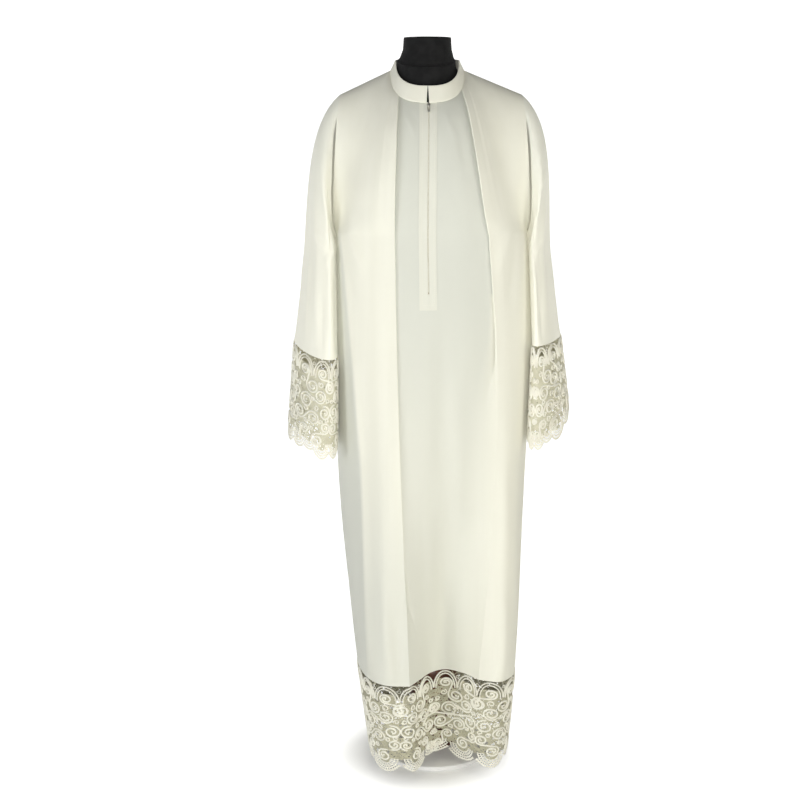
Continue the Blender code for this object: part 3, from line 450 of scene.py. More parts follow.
def top_edge(tip_start, tip_end, arc_start, pleats_at, arc_end, offsets, share):
    """The top edge of a front or back: up one shoulder seam, round the neckline, down the other."""
    def down(direction):
        into = np.array((*left_of(direction[:2]), NECK_LEAN))
        return into / np.linalg.norm(into)

    def down_back(direction):
        return down(-np.asarray(direction))

    first_arc = neck_arc(arc_start, pleats_at[0])
    last_arc = neck_arc(arc_end, pleats_at[1])
    middle = neck_arc(*pleats_at, 100)
    onward = np.vstack((middle[1:], middle[-1:] * 2 - middle[-2:-1]))
    sunk = np.array([p + down(q - p) * 2 * LAYER_PITCH for p, q in zip(middle, onward)])
    zip_at = lengths_along(sunk)[-1] * share
    beside = SIDE_COLUMNS - SHOULDER_COLUMNS + 2
    first_side, last_side = (
        np.vstack((
            np.linspace(tip, edge[0], SHOULDER_COLUMNS),
            even_places(edge, beside, 0, lengths_along(edge)[-1] - PLEAT_LAP)[1:-1],
        ))
        for tip, edge in ((tip_start, first_arc), (tip_end, last_arc))
    )
    return np.vstack((
        first_side, folded_columns(first_arc, down), centre_columns(sunk, zip_at, offsets),
        folded_columns(last_arc, down_back)[::-1], last_side[::-1],
    ))


def armhole(tip, foot, side, t):
    """A point of an armhole, t from the shoulder tip to the underarm. side is -1 at the front."""
    turn = math.pi * t
    share = (1 - math.cos(turn)) / 2
    point = np.asarray(tip) + (np.asarray(foot) - np.asarray(tip)) * share
    outward = 1.0 if tip[0] > 0 else -1.0
    return point + np.array((outward * ARMHOLE_BULGE, side * ARMHOLE_REACH, 0.0)) * math.sin(turn)


def upper_rows(top, foot, tips, side, middle, shares):
    """Rows from the top edge to the underarm, fitted to the armholes and the middle's fall."""
    foot = np.column_stack((foot, np.full(len(foot), UNDERARM)))
    walked = lengths_along(foot[:, :2])
    half = walked[middle]
    near = np.where(walked <= half, walked / half, (walked[-1] - walked) / (walked[-1] - half))[:, None]
    reach = top[middle][2] - foot[middle][2]
    start = np.array((0.0, side * FALL_OUT, FALL_DOWN)) * reach
    end = np.array((0.0, 0.0, FALL_IN)) * reach
    rows = []
    for t in shares:
        straight = top + (foot - top) * t
        first = armhole(tips[0], foot[0], side, t) - straight[0]
        last = armhole(tips[1], foot[-1], side, t) - straight[-1]
        centre = hermite(top[middle], foot[middle], start, end, t) - straight[middle]
        at_side = np.where(np.arange(len(foot))[:, None] <= middle, first, last)
        rows.append(straight + at_side * (1 - near) + centre * near)
    return rows


# Rows of the panels, by share of the way to the underarm and then by height
UPPER_ROWS = 43
ZIP_ROWS = 9
PLACKET_ROWS = 3
SKIRT_ROWS = 66
UPPER_SHARES = np.linspace(0.0, 1.0, UPPER_ROWS + 1)[:-1]
LOWER_LEVELS = np.concatenate((
    np.linspace(UNDERARM, ZIP_END, ZIP_ROWS + 1)[:-1],
    np.linspace(ZIP_END, PLACKET_FOOT, PLACKET_ROWS + 1)[:-1],
    np.linspace(PLACKET_FOOT, HEM_SEAM, SKIRT_ROWS),
))
END_ROW = UPPER_ROWS + ZIP_ROWS
FOOT_ROW = END_ROW + PLACKET_ROWS


def panel_rows(section_at, top, tips, side, middle):
    rows = upper_rows(top, section_at(UNDERARM), tips, side, middle, UPPER_SHARES)
    for z in LOWER_LEVELS:
        flat = section_at(z)
        rows.append(np.column_stack((flat, np.full(len(flat), z))))
    return np.array(rows)


def outward_of(points):
    """The way out of the robe at each point, the same for every layer of a pleat."""
    out = np.zeros_like(points)
    out[..., :2] = points[..., :2] / np.square(ROBE_HALF)
    return out / np.maximum(np.linalg.norm(out, axis=-1, keepdims=True), 1e-9)


def crease_height(across, z, creases, per_unit=1.0):
    """How far the listed creases raise the cloth at these places."""
    height = np.zeros_like(across, dtype=float)
    for a0, z0, a1, z1, width, lift in creases:
        line = np.array(((a1 - a0) * per_unit, z1 - z0))
        length = np.linalg.norm(line)
        dx, dz = (across - a0) * per_unit, z - z0
        along = (dx * line[0] + dz * line[1]) / length**2
        aside = (dx * line[1] - dz * line[0]) / length
        ends = soft_step(along / CREASE_END + 0.15) * soft_step((1 - along) / CREASE_END + 0.15)
        height += lift * np.exp(-((aside / width) ** 2)) * ends
    return height


def eased(rows):
    """Rounds the corner that runs from the neck end of each shoulder seam down to the side."""
    smooth = rows.copy()
    for _ in range(EASE_PASSES):
        for part in (slice(0, SIDE_COLUMNS - 2), slice(-1, 1 - SIDE_COLUMNS, -1)):
            side = smooth[:, part].copy()
            smooth[:, part][:, 1:-1] = (side[:, :-2] + 2 * side[:, 1:-1] + side[:, 2:]) / 4
    at = np.arange(len(rows))
    left = UPPER_ROWS + EASE_PAST_UNDERARM - at
    weight = soft_step(at / EASE_IN) * soft_step(left / EASE_OUT)
    return rows + (smooth - rows) * weight[:, None, None]


def creased(rows, creases):
    fade = soft_step((rows[..., 2] - HEM_SEAM) / CREASE_FADE + 0.55)
    held = 1.0 - np.exp(-((rows[..., 2] - rows[:1, :, 2]) / CREASE_HELD) ** 2)
    height = crease_height(rows[..., 0], rows[..., 2], creases) * fade * held
    return rows + outward_of(rows) * height[..., None]


def front_rows():
    top = top_edge(TIP_LEFT, TIP_RIGHT, 180.0, NECK_PLEATS["front"], 0.0, FRONT_OFFSETS, 0.44)
    rows = panel_rows(front_section, top, (TIP_LEFT, TIP_RIGHT), -1, ZIP_COLUMN)
    return creased(eased(rows), FRONT_CREASES)


def back_rows():
    top = top_edge(TIP_RIGHT, TIP_LEFT, 0.0, NECK_PLEATS["back"], -180.0, BACK_OFFSETS, 0.5)
    rows = panel_rows(back_section, top, (TIP_RIGHT, TIP_LEFT), 1, BACK_MIDDLE)
    return creased(eased(rows), BACK_CREASES)


# --- Meshes ---


def world(points):
    points = np.array(points, float)
    points[..., :2] += NECK_AT
    return points * MM


def linked(name, data):
    """A new object in the scene."""
    made = bpy.data.objects.new(name, data)
    bpy.context.scene.collection.objects.link(made)
    return made


def add_piece(name, points, faces, finish, stands_for=(), body=ROBE, smooth_angle=40.0):
    """A piece from world points, riding on a body and hiding the solids that it stands for."""
    mesh = bpy.data.meshes.new(name)
    mesh.from_pydata(np.asarray(points).tolist(), [], [list(map(int, face)) for face in faces])
    mesh.materials.append(finish)
    mesh.shade_smooth()
    mesh.set_sharp_from_angle(angle=math.radians(smooth_angle))
    made = linked(name, mesh)
    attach(made, body)
    if stands_for:
        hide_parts(*stands_for)
    return made


def full_turn(count):
    return np.linspace(0.0, 2 * math.pi, count, endpoint=False)


def unit(vectors):
    return vectors / np.maximum(np.linalg.norm(vectors, axis=-1, keepdims=True), 1e-9)


def grid_normals(grid, closed=False):
    """Outward normals of a grid whose rows run down and columns anticlockwise."""
    after = np.roll(grid, -1, axis=1) if closed else grid[:, 1:]
    before = grid if closed else grid[:, :-1]
    down = (before[1:] + after[1:]) - (before[:-1] + after[:-1])
    across = (after[1:] + after[:-1]) - (before[1:] + before[:-1])
    cells = unit(np.cross(down, across))
    total = np.zeros_like(grid)
    for row in (slice(None, -1), slice(1, None)):
        if closed:
            total[row] += cells + np.roll(cells, 1, axis=1)
        else:
            total[row, :-1] += cells
            total[row, 1:] += cells
    return unit(total)


def shell(
    name, grid, thick, finish, closed=False, skip=None, offset=0.0, normals=None, shade=None, **placing
):
    """Cloth round a grid of middle points. thick may differ from row to row, and shade, the share of painted
    shade, from point to point.
    """
    rows, columns = grid.shape[:2]
    normals = grid_normals(grid, closed) if normals is None else normals
    index = np.arange(rows * columns).reshape(rows, columns)
    right = np.roll(index, -1, axis=1) if closed else index[:, 1:]
    left = index if closed else index[:, :-1]
    cells = np.stack((left[:-1], left[1:], right[1:], right[:-1]), axis=-1)
    keep = np.ones(cells.shape[:2], bool)
    if skip is not None:
        keep[skip] = False
    cells = cells[keep]
    half = np.broadcast_to(np.reshape(thick, (-1, 1, 1)), (rows, 1, 1)) / 2
    middle = grid + normals * offset
    faced = (middle + normals * half, middle - normals * half)
    points = np.concatenate([face.reshape(-1, 3) for face in faced])
    count = rows * columns
    edges = np.concatenate([cells[:, [i, (i + 1) % 4]] for i in range(4)])
    key = edges[:, 0] * count + edges[:, 1]
    rim = edges[~np.isin(edges[:, 1] * count + edges[:, 0], key)]
    sides = np.stack((rim[:, 1], rim[:, 0], rim[:, 0] + count, rim[:, 1] + count), axis=-1)
    faces = np.concatenate((cells, cells[:, ::-1] + count, sides))
    used, faces = np.unique(faces, return_inverse=True)
    made = add_piece(name, world(points[used]), faces.reshape(-1, 4), finish, **placing)
    if shade is not None:
        values = made.data.attributes.new("shade", "FLOAT", "POINT").data
        values.foreach_set("value", np.tile(shade.reshape(-1), 2)[used])
    return made


def ring_quads(rings, count, start=0):
    """The faces between closed rings of points."""
    index = start + np.arange(rings * count).reshape(rings, count)
    beside = np.roll(index, -1, axis=1)
    return np.stack((index[:-1], beside[:-1], beside[1:], index[1:]), axis=-1).reshape(-1, 4)


def swept(lines, sides):
    """Cords along lines: each is its points, their outward normals, half widths and height.

    The cords are round on top and flat below, where they lie on the surface.
    """
    turns = np.linspace(math.pi * 1.08, -math.pi * 0.08, sides)
    points, faces, start = [], [], 0
    for path, normals, width, height in lines:
        across = unit(np.cross(unit(np.gradient(path, axis=0)), normals))
        width = np.broadcast_to(np.reshape(width, (-1, 1)), (len(path), 1))
        ring = (
            path[:, None]
            + across[:, None] * (np.cos(turns)[None, :, None] * width[:, :, None])
            + normals[:, None] * (np.sin(turns)[None, :, None] * height)
        )
        points.append(ring.reshape(-1, 3))
        faces.append(ring_quads(len(path), sides, start))
        start += len(path) * sides
    return np.concatenate(points), np.concatenate(faces)


def add_cords(name, lines, sides, finish, **placing):
    points, faces = swept(lines, sides)
    add_piece(name, world(points), faces, finish, **placing)


# --- Finishes ---

IVORY = (0.80, 0.788, 0.69)
IVORY_SHADE = (0.77, 0.757, 0.655)
# The grey of painted shade, which the cloth's shade attribute mixes into its colour
PAINTED_SHADE = (0.60, 0.61, 0.55)
WEAVE_PITCH = 0.0007
# The other finishes: two tones, surface, whose through is a painted glow, noise between the tones, and the
# bump's strength, its height in metres and the fineness of its grain, with the pitch of its threads along an
# axis
PLAIN_FINISHES = {
    "Cream guipure lace": dict(
        tones=((0.90, 0.885, 0.79), (0.84, 0.81, 0.70)),
        surface=dict(roughness=0.8, sheen=0.2, through=0.06),
        noise=(40.0,), bump=(0.5, 0.0004, 500.0), threads=(("X", 0.0011), ("Z", 0.0013)),
    ),
    # The ground's threads are darker than the cords, painted shade where the fine net lies low; the cuffs'
    # ground has less of it
    "Lace ground thread in painted shade": dict(
        tones=((0.50, 0.475, 0.345), (0.40, 0.38, 0.275)),
        surface=dict(roughness=0.85, sheen=0.1, through=0.03),
        noise=(60.0,), bump=(0.4, 0.0003, 700.0), threads=(("Z", 0.0009),),
    ),
    "Cuff lace ground thread in lighter painted shade": dict(
        tones=((0.67, 0.645, 0.50), (0.57, 0.545, 0.41)),
        surface=dict(roughness=0.85, sheen=0.1, through=0.03),
        noise=(60.0,), bump=(0.4, 0.0003, 700.0), threads=(("Z", 0.0009),),
    ),
    "Black jersey": dict(
        tones=((0.008, 0.008, 0.0085), (0.013, 0.013, 0.0135)), base=(0.012, 0.012, 0.013),
        surface=dict(roughness=0.95, sheen=0.03),
        noise=(60.0,), bump=(0.5, 0.0006, 180.0), threads=(("Z", 0.0011),),
    ),
    "Reddish brown wood": dict(
        tones=((0.05, 0.015, 0.01), (0.20, 0.062, 0.03)), base=(0.20, 0.062, 0.03),
        surface=dict(roughness=0.34),
        noise=(22.0, 6.0, (6.0, 6.0, 0.5), (0.3, 0.7)), bump=(0.15, 0.0005, 90.0),
    ),
    "Nickelled zip metal": dict(
        tones=((0.66, 0.65, 0.62), (0.5, 0.48, 0.44)), base=(0.62, 0.61, 0.58),
        surface=dict(roughness=0.32, metallic=1.0), noise=(300.0,), bump=(0.1, 0.0002, 900.0),
    ),
    "White painted steel": dict(
        tones=((0.77, 0.77, 0.76), (0.72, 0.71, 0.70)), base=(0.76, 0.76, 0.75),
        surface=dict(roughness=0.5, through=0.06), noise=(5.0,), bump=(0.08, 0.0004, 380.0),
    ),
    "Zip coil": dict(
        tones=((0.77, 0.75, 0.65), (0.7, 0.67, 0.56)), base=(0.76, 0.74, 0.64),
        surface=dict(roughness=0.5), noise=(200.0,),
    ),
    "Zip end stop": dict(
        tones=((0.4, 0.31, 0.19), (0.3, 0.23, 0.14)), base=(0.36, 0.28, 0.17),
        surface=dict(roughness=0.4, metallic=0.6), noise=(400.0,),
    ),
}


def finish(name, colour, roughness, metallic=0.0, sheen=0.0, through=0.0):
    """A material. through is painted light: the finish glows with that share of its own colour, standing in
    for the light that thin cloth lets past it, which softens its deep folds.
    """
    made = bpy.data.materials.new(name)
    made.use_nodes = True
    settings = {
        "Base Color": (*colour, 1.0), "Roughness": roughness, "Metallic": metallic,
        "Sheen Weight": sheen, "Sheen Roughness": 0.5,
        "Emission Color": (*colour, 1.0), "Emission Strength": through,
    }
    for socket, value in settings.items():
        sockets(made)[socket].default_value = value
    return made


def sockets(made):
    """The inputs of a finish's shader."""
    return made.node_tree.nodes["Principled BSDF"].inputs


def add_node(made, kind, **values):
    """A node of a material, with its inputs and settings given by name."""
    node = made.node_tree.nodes.new(kind)
    for name, value in values.items():
        socket = name.replace("_", " ").title()
        if socket in node.inputs:
            node.inputs[socket].default_value = value
        else:
            setattr(node, name, value)
    return node


def tinted(made, colour, other, scale, detail=3.0, stretch=(1.0, 1.0, 1.0), sharp=(0.35, 0.65)):
    """Breaks a finish's colour up between two tones with a soft noise."""
    link = made.node_tree.links.new
    place = add_node(made, "ShaderNodeTexCoord")
    mapped = add_node(made, "ShaderNodeMapping", scale=stretch)
    noise = add_node(made, "ShaderNodeTexNoise", scale=scale, detail=detail)
    ramp = add_node(made, "ShaderNodeValToRGB")
    ramp.color_ramp.elements[0].position, ramp.color_ramp.elements[1].position = sharp
    ramp.color_ramp.elements[0].color = (*colour, 1.0)
    ramp.color_ramp.elements[1].color = (*other, 1.0)
    link(place.outputs["Object"], mapped.inputs["Vector"])
    link(mapped.outputs["Vector"], noise.inputs["Vector"])
    link(noise.outputs["Fac"], ramp.inputs["Fac"])
    link(ramp.outputs["Color"], sockets(made)["Base Color"])
    return ramp


def bumped(made, strength, distance, *textures):
    """Raises a finish by the sum of textures, each a node's output socket."""
    link = made.node_tree.links.new
    bump = add_node(made, "ShaderNodeBump", strength=strength, distance=distance)
    height = textures[0]
    for other in textures[1:]:
        added = add_node(made, "ShaderNodeMath")
        link(height, added.inputs[0])
        link(other, added.inputs[1])
        height = added.outputs[0]
    link(height, bump.inputs["Height"])
    link(bump.outputs["Normal"], sockets(made)["Normal"])


def texture(made, kind, **values):
    """A texture that lies still on its piece."""
    place = add_node(made, "ShaderNodeTexCoord")
    node = add_node(made, kind, **values)
    made.node_tree.links.new(place.outputs["Object"], node.inputs["Vector"])
    return node.outputs["Fac"]


def threads(made, pitch, axis):
    """One ridge for each thread, spaced by pitch in metres along an axis."""
    # at a scale of 1 this texture's bands lie 0.314 m apart
    return texture(
        made, "ShaderNodeTexWave", bands_direction=axis, distortion=1.2, detail=1.0, detail_scale=6.0,
        scale=0.314 / pitch,
    )


def mottle(made, scale):
    return texture(made, "ShaderNodeTexNoise", scale=scale, detail=4.0)


def cloth_finish(name, colour, other, through=0.07):
    """A plain weave: crossing threads, faint slubs along the warp and a soft sheen, with a faint painted
    glow, and painted shade greying its colour where its shade attribute says.
    """
    made = finish(name, colour, 0.72, sheen=0.15, through=through)
    ramp = tinted(made, colour, other, 26.0, stretch=(1.0, 1.0, 0.05))
    # painted shade: the shade attribute mixes the grey of painted shade into the colour
    shade = add_node(made, "ShaderNodeAttribute", attribute_name="shade")
    mixed = add_node(made, "ShaderNodeMix", data_type="RGBA")
    mixed.inputs[7].default_value = (*PAINTED_SHADE, 1.0)
    link = made.node_tree.links.new
    link(shade.outputs["Fac"], mixed.inputs[0])
    link(ramp.outputs["Color"], mixed.inputs[6])
    link(mixed.outputs[2], sockets(made)["Base Color"])
    weave = [threads(made, WEAVE_PITCH, axis) for axis in "XZ"]
    bumped(made, 0.22, 0.0004, *weave, mottle(made, 60.0))
    return made


def plain_finish(name):
    """A finish from its row of the table: its tones, and the bumps of its threads and its grain."""
    look = PLAIN_FINISHES[name]
    light, dark = look["tones"]
    made = finish(name, look.get("base", light), **look["surface"])
    tinted(made, light, dark, *look["noise"])
    if "bump" in look:
        strength, height, grain = look["bump"]
        spun = [threads(made, pitch, axis) for axis, pitch in look.get("threads", ())]
        bumped(made, strength, height, *spun, mottle(made, grain))
    return made


def jersey_finish():
    made = plain_finish("Black jersey")
    sockets(made)["Specular IOR Level"].default_value = 0.25
    return made


# --- The robe's cloth ---


def add_panels(cloth):
    front = front_rows()
    shell(
        "front", front, CLOTH, cloth, skip=(slice(None, END_ROW), ZIP_COLUMN), shade=front_shade(front),
        stands_for=["front_panel"],
    )
    shell("back", back_rows(), CLOTH, cloth, stands_for=["back_panel"])
    return front


# The column of a pleat's edge, and the heights and widths over which the front's painted shade fades
PLEAT_EDGE = 3 * STATION_COLUMNS
RIGHT_PLEAT_OPENS = (1070.0, 330.0)
SHADE_EDGE = 8.0
SHADE_SPREAD = 92.0
SHADE_SHIFT = 24.0
LEFT_FOLD_LEVELS = (1240.0, 950.0, 700.0, 226.0)
LEFT_FOLD_AT = (-184.0, -159.0, -140.0, -127.0)
# Painted shade on the side beyond the left fold, and on the lower left of the front
SIDE_SHADE = 0.8
LOW_SHADE = 0.5
# The recess's painted shade low down, and what it gains going up; then heights and lengths of the shades'
# fades
RECESS_SHADE = (0.52, 0.38)
RECESS_FADE = (620.0, 520.0)
SIDE_FADE = (1260.0, 120.0)
LOW_FADE = (760.0, 420.0)
FOLD_WIDTH = 7.0


def front_shade(front):
    """How much painted shade greys each point of the front: 1 on the panel between the two pleats,
    which lies deeper than the outer panels.

    Where the right pleat has opened, its painted shade passes over slowly into the outer panel, and
    the side beyond the left fold has some of it.
    """
    x, z = front[..., 0], front[..., 2]
    columns = np.arange(front.shape[1])
    first = SIDE_COLUMNS + PLEAT_EDGE
    last = front.shape[1] - 1 - first
    opened = soft_step((RIGHT_PLEAT_OPENS[0] - z) / RIGHT_PLEAT_OPENS[1])
    reach = SHADE_EDGE + SHADE_SPREAD * opened
    fading = soft_step((x[:, last, None] + SHADE_SHIFT * opened - x) / reach)
    between = (columns >= first) & (columns <= last)
    shade = between * np.where(opened > 0, fading, 1.0)
    spread = fading * (columns > last) * (opened > 0)
    upper = soft_step((z - RECESS_FADE[0]) / RECESS_FADE[1])
    shade = np.maximum(shade, spread) * (RECESS_SHADE[0] + RECESS_SHADE[1] * upper)
    fold = np.interp(-z, -np.array(LEFT_FOLD_LEVELS), LEFT_FOLD_AT)
    side = soft_step((fold - x) / FOLD_WIDTH + 0.5) * soft_step((SIDE_FADE[0] - z) / SIDE_FADE[1])
    low = LOW_SHADE * soft_step((LOW_FADE[0] - z) / LOW_FADE[1]) * (columns < first)
    return np.maximum(np.maximum(shade, low), SIDE_SHADE * side)


def sleeve_ring(row, turns):
    _, z_front, z_back, x, y, half_width, half_depth, turned = row
    outward = 1.0 if x > 0 else -1.0
    lean = math.radians(turned)
    out, ahead = half_width * np.cos(turns), half_depth * np.sin(turns)
    across = out * math.cos(lean) - ahead * math.sin(lean)
    depth = -ahead * math.cos(lean) - out * math.sin(lean)
    z = z_front + (z_back - z_front) * (1 - np.sin(turns)) / 2
    return np.stack((x + outward * across, y + depth, z), axis=-1)


def turns_round(side, count):
    """Angles round a sleeve, anticlockwise from above: 0 is its outer edge and 90 degrees its front."""
    turns = full_turn(count)
    return turns if side == "left" else -turns


SLEEVE_ROUND = 144
# Rows of a sleeve down to the upper arm, and from there to the cuff's seam
HEAD_ROWS = 60
ARM_ROWS = 26
# The head leaves the armhole and reaches the arm with these lengths, underneath and added on top,
HEAD_OUT = (150.0, 170.0)
HEAD_FALL = (120.0, 120.0)
# and these ways: outward, forward and down, each first for the underside and then what the top adds
HEAD_WAY = ((0.15, 0.65), -0.4, (-0.85, 0.2))
ARM_OUTWARD = 0.08
# Creases on a sleeve: mm for each degree round it, and the rows over which they come in
MM_PER_DEGREE = 1.25
HEAD_HELD = 6.0
# How deep the armhole's seam sinks in at front and back, and how far from the seam
SEAM_SINKS = {"front": 9.0, "back": 3.5}
SEAM_REACH = 7.5
# It sinks from this share of the way down the armhole on, over the next, and rises over the last one
SEAM_SPAN = (0.22, 0.16, 0.2)
# From this height up painted shade greys a sleeve's colour, by this share at its tip
SLEEVE_SHADE_FROM = 1130.0
SLEEVE_TOP_SHADE = 0.55


def sleeve_head(tip, foot, turns):
    """The armhole's points, in the order of the angles round the sleeve."""
    head = []
    for turn in turns:
        turn = math.atan2(math.sin(turn), math.cos(turn))
        head.append(armhole(tip, foot, -1 if turn > 0 else 1, abs(turn) / math.pi))
    return np.array(head)


def sleeve_rows(side, tip, foot):
    outward = -1.0 if side == "left" else 1.0
    turns = turns_round(side, SLEEVE_ROUND)
    upper, cuff = (sleeve_ring(row, turns) for row in SLEEVES[side][:2])
    top = ((1 + np.cos(turns)) / 2)[:, None]
    ahead = np.sin(turns)[:, None]
    head = sleeve_head(tip, foot, turns)
    aside, forward, down = HEAD_WAY
    out = np.concatenate((
        outward * (aside[0] + aside[1] * top), forward * ahead, down[0] + down[1] * top
    ), axis=1)
    out *= HEAD_OUT[0] + HEAD_OUT[1] * top
    fall = np.array((outward * ARM_OUTWARD, 0.0, -1.0)) * (HEAD_FALL[0] + HEAD_FALL[1] * top)
    rows = [hermite(head, upper, out, fall, t) for t in np.linspace(0.0, 1.0, HEAD_ROWS)]
    rows += [upper + (cuff - upper) * t for t in np.linspace(0.0, 1.0, ARM_ROWS)[1:]]
    rows = np.array(rows)
    degrees = np.broadcast_to(np.mod(np.degrees(turns), 360.0), rows.shape[:2])
    lift = crease_height(degrees, rows[..., 2], SLEEVE_CREASES[side], per_unit=MM_PER_DEGREE)
    held = 1.0 - np.exp(-((np.arange(len(rows)) / HEAD_HELD) ** 2))
    lift = lift * held[:, None] * soft_step((rows[..., 2] - cuff[:, 2]) / CREASE_FADE + 0.5)
    # the seam's front and back sink in behind the panels' edges
    share = np.abs(np.arctan2(np.sin(turns), np.cos(turns))) / math.pi
    sunk = soft_step((share - SEAM_SPAN[0]) / SEAM_SPAN[1]) * soft_step((1.0 - share) / SEAM_SPAN[2])
    deep = np.where(ahead[:, 0] > 0, SEAM_SINKS["front"], SEAM_SINKS["back"])
    away = np.linalg.norm(rows - rows[0], axis=2)
    lift -= deep * sunk * np.exp(-((away / SEAM_REACH) ** 2))
    return rows + grid_normals(rows, True) * lift[..., None]


def add_sleeves(cloth, front):
    underarm = front[UPPER_ROWS]
    for side, tip, foot in (("left", TIP_LEFT, underarm[0]), ("right", TIP_RIGHT, underarm[-1])):
        rows = sleeve_rows(side, tip, foot)
        # painted shade on the top of each sleeve
        high = SLEEVE_TOP_SHADE * soft_step((rows[..., 2] - SLEEVE_SHADE_FROM) / (tip[2] - SLEEVE_SHADE_FROM))
        shell(
            f"{side}_sleeve_cloth", rows, CLOTH, cloth, closed=True, shade=high,
            stands_for=[f"{side}_sleeve"],
        )
        stitches_round(f"{side}_armhole_stitches", rows[3:5], cloth)


# Shares of the way down the collar, and its thickness there as a share of the full one
COLLAR_SHARES = (0.0, 0.02, 0.07, 0.2, 0.4, 0.6, 0.8, 0.93, 0.98, 1.0)
COLLAR_THICKNESS = (0.35, 0.75, 1.0, 1.0, 0.95, 0.95, 1.0, 1.0, 0.75, 0.35)
COLLAR_STITCH_ROWS = (("top", 3), ("foot", 7))
COLLAR_COLUMNS = 145


def add_collar(cloth):
    """The stand collar, its edges rounded where the cloth turns over, and a row of topstitching."""
    thick = COLLAR_CLOTH * np.array(COLLAR_THICKNESS)
    rows = []
    seam = np.array((0.0, 0.0, -1.0))
    for share in COLLAR_SHARES:
        row = np.array([
            neck_ring(COLLAR_TOP, a) * (1 - share) + (neck_ring(NECKLINE, a) + seam) * share
            for a in np.radians(np.linspace(90.0, -270.0, COLLAR_COLUMNS))
        ])
        slit = COLLAR_SLIT_TOP + (COLLAR_SLIT_FOOT - COLLAR_SLIT_TOP) * math.sin(share * math.pi / 2)
        row[0, 0] += slit / 2
        row[-1, 0] -= slit / 2
        rows.append(row)
    rows = np.array(rows)
    shell("collar_band", rows, thick, cloth, stands_for=["collar"])
    normals = grid_normals(rows)
    for name, row in COLLAR_STITCH_ROWS:
        stitch_line(f"collar_stitches_{name}", rows[row], normals[row], COLLAR_CLOTH / 2, cloth)


# A stitch: its length, the gap to the next, its half width and height, how far its ends dip and its
# middle rises, and how far a row keeps from the line's ends
STITCH_LENGTH = 2.6
STITCH_GAP = 1.2
STITCH = (0.26, 0.22)
STITCH_DIP = 0.12
STITCH_RISE = 0.2
STITCH_ENDS = (2.0, 1.0)


def stitch_line(name, path, normals, lift, thread):
    """A run of topstitching on a line, each stitch a short cord that dips at its ends."""
    along = lengths_along(path)
    rise = lift - STITCH_DIP + STITCH_RISE * np.sin(np.linspace(0.0, math.pi, 4))
    lines = []
    last = along[-1] - STITCH_LENGTH - STITCH_ENDS[1]
    for start in np.arange(STITCH_ENDS[0], last, STITCH_LENGTH + STITCH_GAP):
        at = start + np.linspace(0.0, STITCH_LENGTH, 4)
        out = unit(read_along(along, normals, at))
        lines.append((read_along(along, path, at) + out * rise[:, None], out, *STITCH))
    add_cords(name, lines, 4, thread)


def stitches_round(name, rows, thread):
    closed = np.concatenate((rows, rows[:, :1]), axis=1)
    stitch_line(name, closed[0], grid_normals(closed)[0], CLOTH / 2, thread)


# --- Placket and zip ---


# Painted shade on the placket, which lies in the recess
PLACKET_SHADE = 0.5
# The coil: where it starts and ends short of the slit's ends, its pitch, a link's reach either side of
# the middle, its lift, its half width and height, and those of the core
COIL_ENDS = (4.0, 3.0)
COIL_PITCH = 1.25
LINK_REACH = (-0.3, 1.15)
LINK_LIFT = 1.4
LINK_ROUND = 0.25
LINK = (0.42, 0.5)
CORE_LIFT = 1.1
CORE = (1.1, 0.5)
END_STOP = (1.1, 1.9)


def add_placket(front, cloth, tape, chain):
    """The placket on the front, its stitching, and the zip's tape and coil in the slit."""
    slot = FRONT_OFFSETS.index(-SLOT_HALF)
    first = ZIP_COLUMN - slot
    columns = slice(first, first + len(FRONT_OFFSETS))
    strip, normals = front[:, columns], grid_normals(front)[:, columns]
    out = CLOTH / 2 + SEAM_GAP + PLACKET_CLOTH / 2
    laid = strip[: FOOT_ROW + 1]
    shell(
        "placket", laid, PLACKET_CLOTH, cloth, skip=(slice(None, END_ROW), slot), offset=out,
        normals=normals[: FOOT_ROW + 1], shade=np.full(laid.shape[:2], PLACKET_SHADE),
        stands_for=["zip_placket"],
    )
    down, across = slice(1, FOOT_ROW), slice(1, -1)
    for name, where in (("left", (down, 1)), ("right", (down, -2)), ("foot", (FOOT_ROW - 1, across))):
        face = out + PLACKET_CLOTH / 2
        stitch_line(f"placket_stitches_{name}", strip[where], normals[where], face, cloth)
    behind = (slice(None, END_ROW + 1), across)
    shell(
        "tape", strip[behind], 1.0, tape, offset=-CLOTH / 2 - SEAM_GAP - 0.5, normals=normals[behind],
        stands_for=["zip_tape"],
    )
    slit = (slice(None, END_ROW + 1), slice(slot, slot + 2))
    add_coil(strip[slit], normals[slit], chain)


def add_coil(edges, normals, chain):
    """The zip's coil: a short link from each side in turn, down the slit, and its end stop."""
    line = (edges[:, 0] + edges[:, 1]) / 2
    out = unit(normals[:, 0] + normals[:, 1])
    along = lengths_along(line)
    rise = (LINK_LIFT + LINK_ROUND * np.sin(np.linspace(0.2, math.pi, 4)))[:, None]
    lines = []
    for k, at in enumerate(np.arange(COIL_ENDS[0], along[-1] - COIL_ENDS[1], COIL_PITCH)):
        lift = unit(read_along(along, out, at))
        ends = np.linspace(*LINK_REACH, 4)[:, None] * (1.0 if k % 2 else -1.0)
        points = read_along(along, line, at) + np.array((1.0, 0.0, 0.0)) * ends
        lines.append((points + lift * rise, np.repeat(lift[None], 4, axis=0), *LINK))
    core = slice(int(np.searchsorted(along, 3.0)), None)
    lines.append((line[core] + out[core] * CORE_LIFT, out[core], *CORE))
    add_cords("coil", lines, 5, chain, stands_for=["zip_chain"])
    stop = places_along(line, along[-1] - np.linspace(5.0, 1.0, 5))
    stop_line = (stop, np.repeat(out[-1:], len(stop), axis=0), *END_STOP)
    add_cords("end_stop", [stop_line], 8, plain_finish("Zip end stop"))


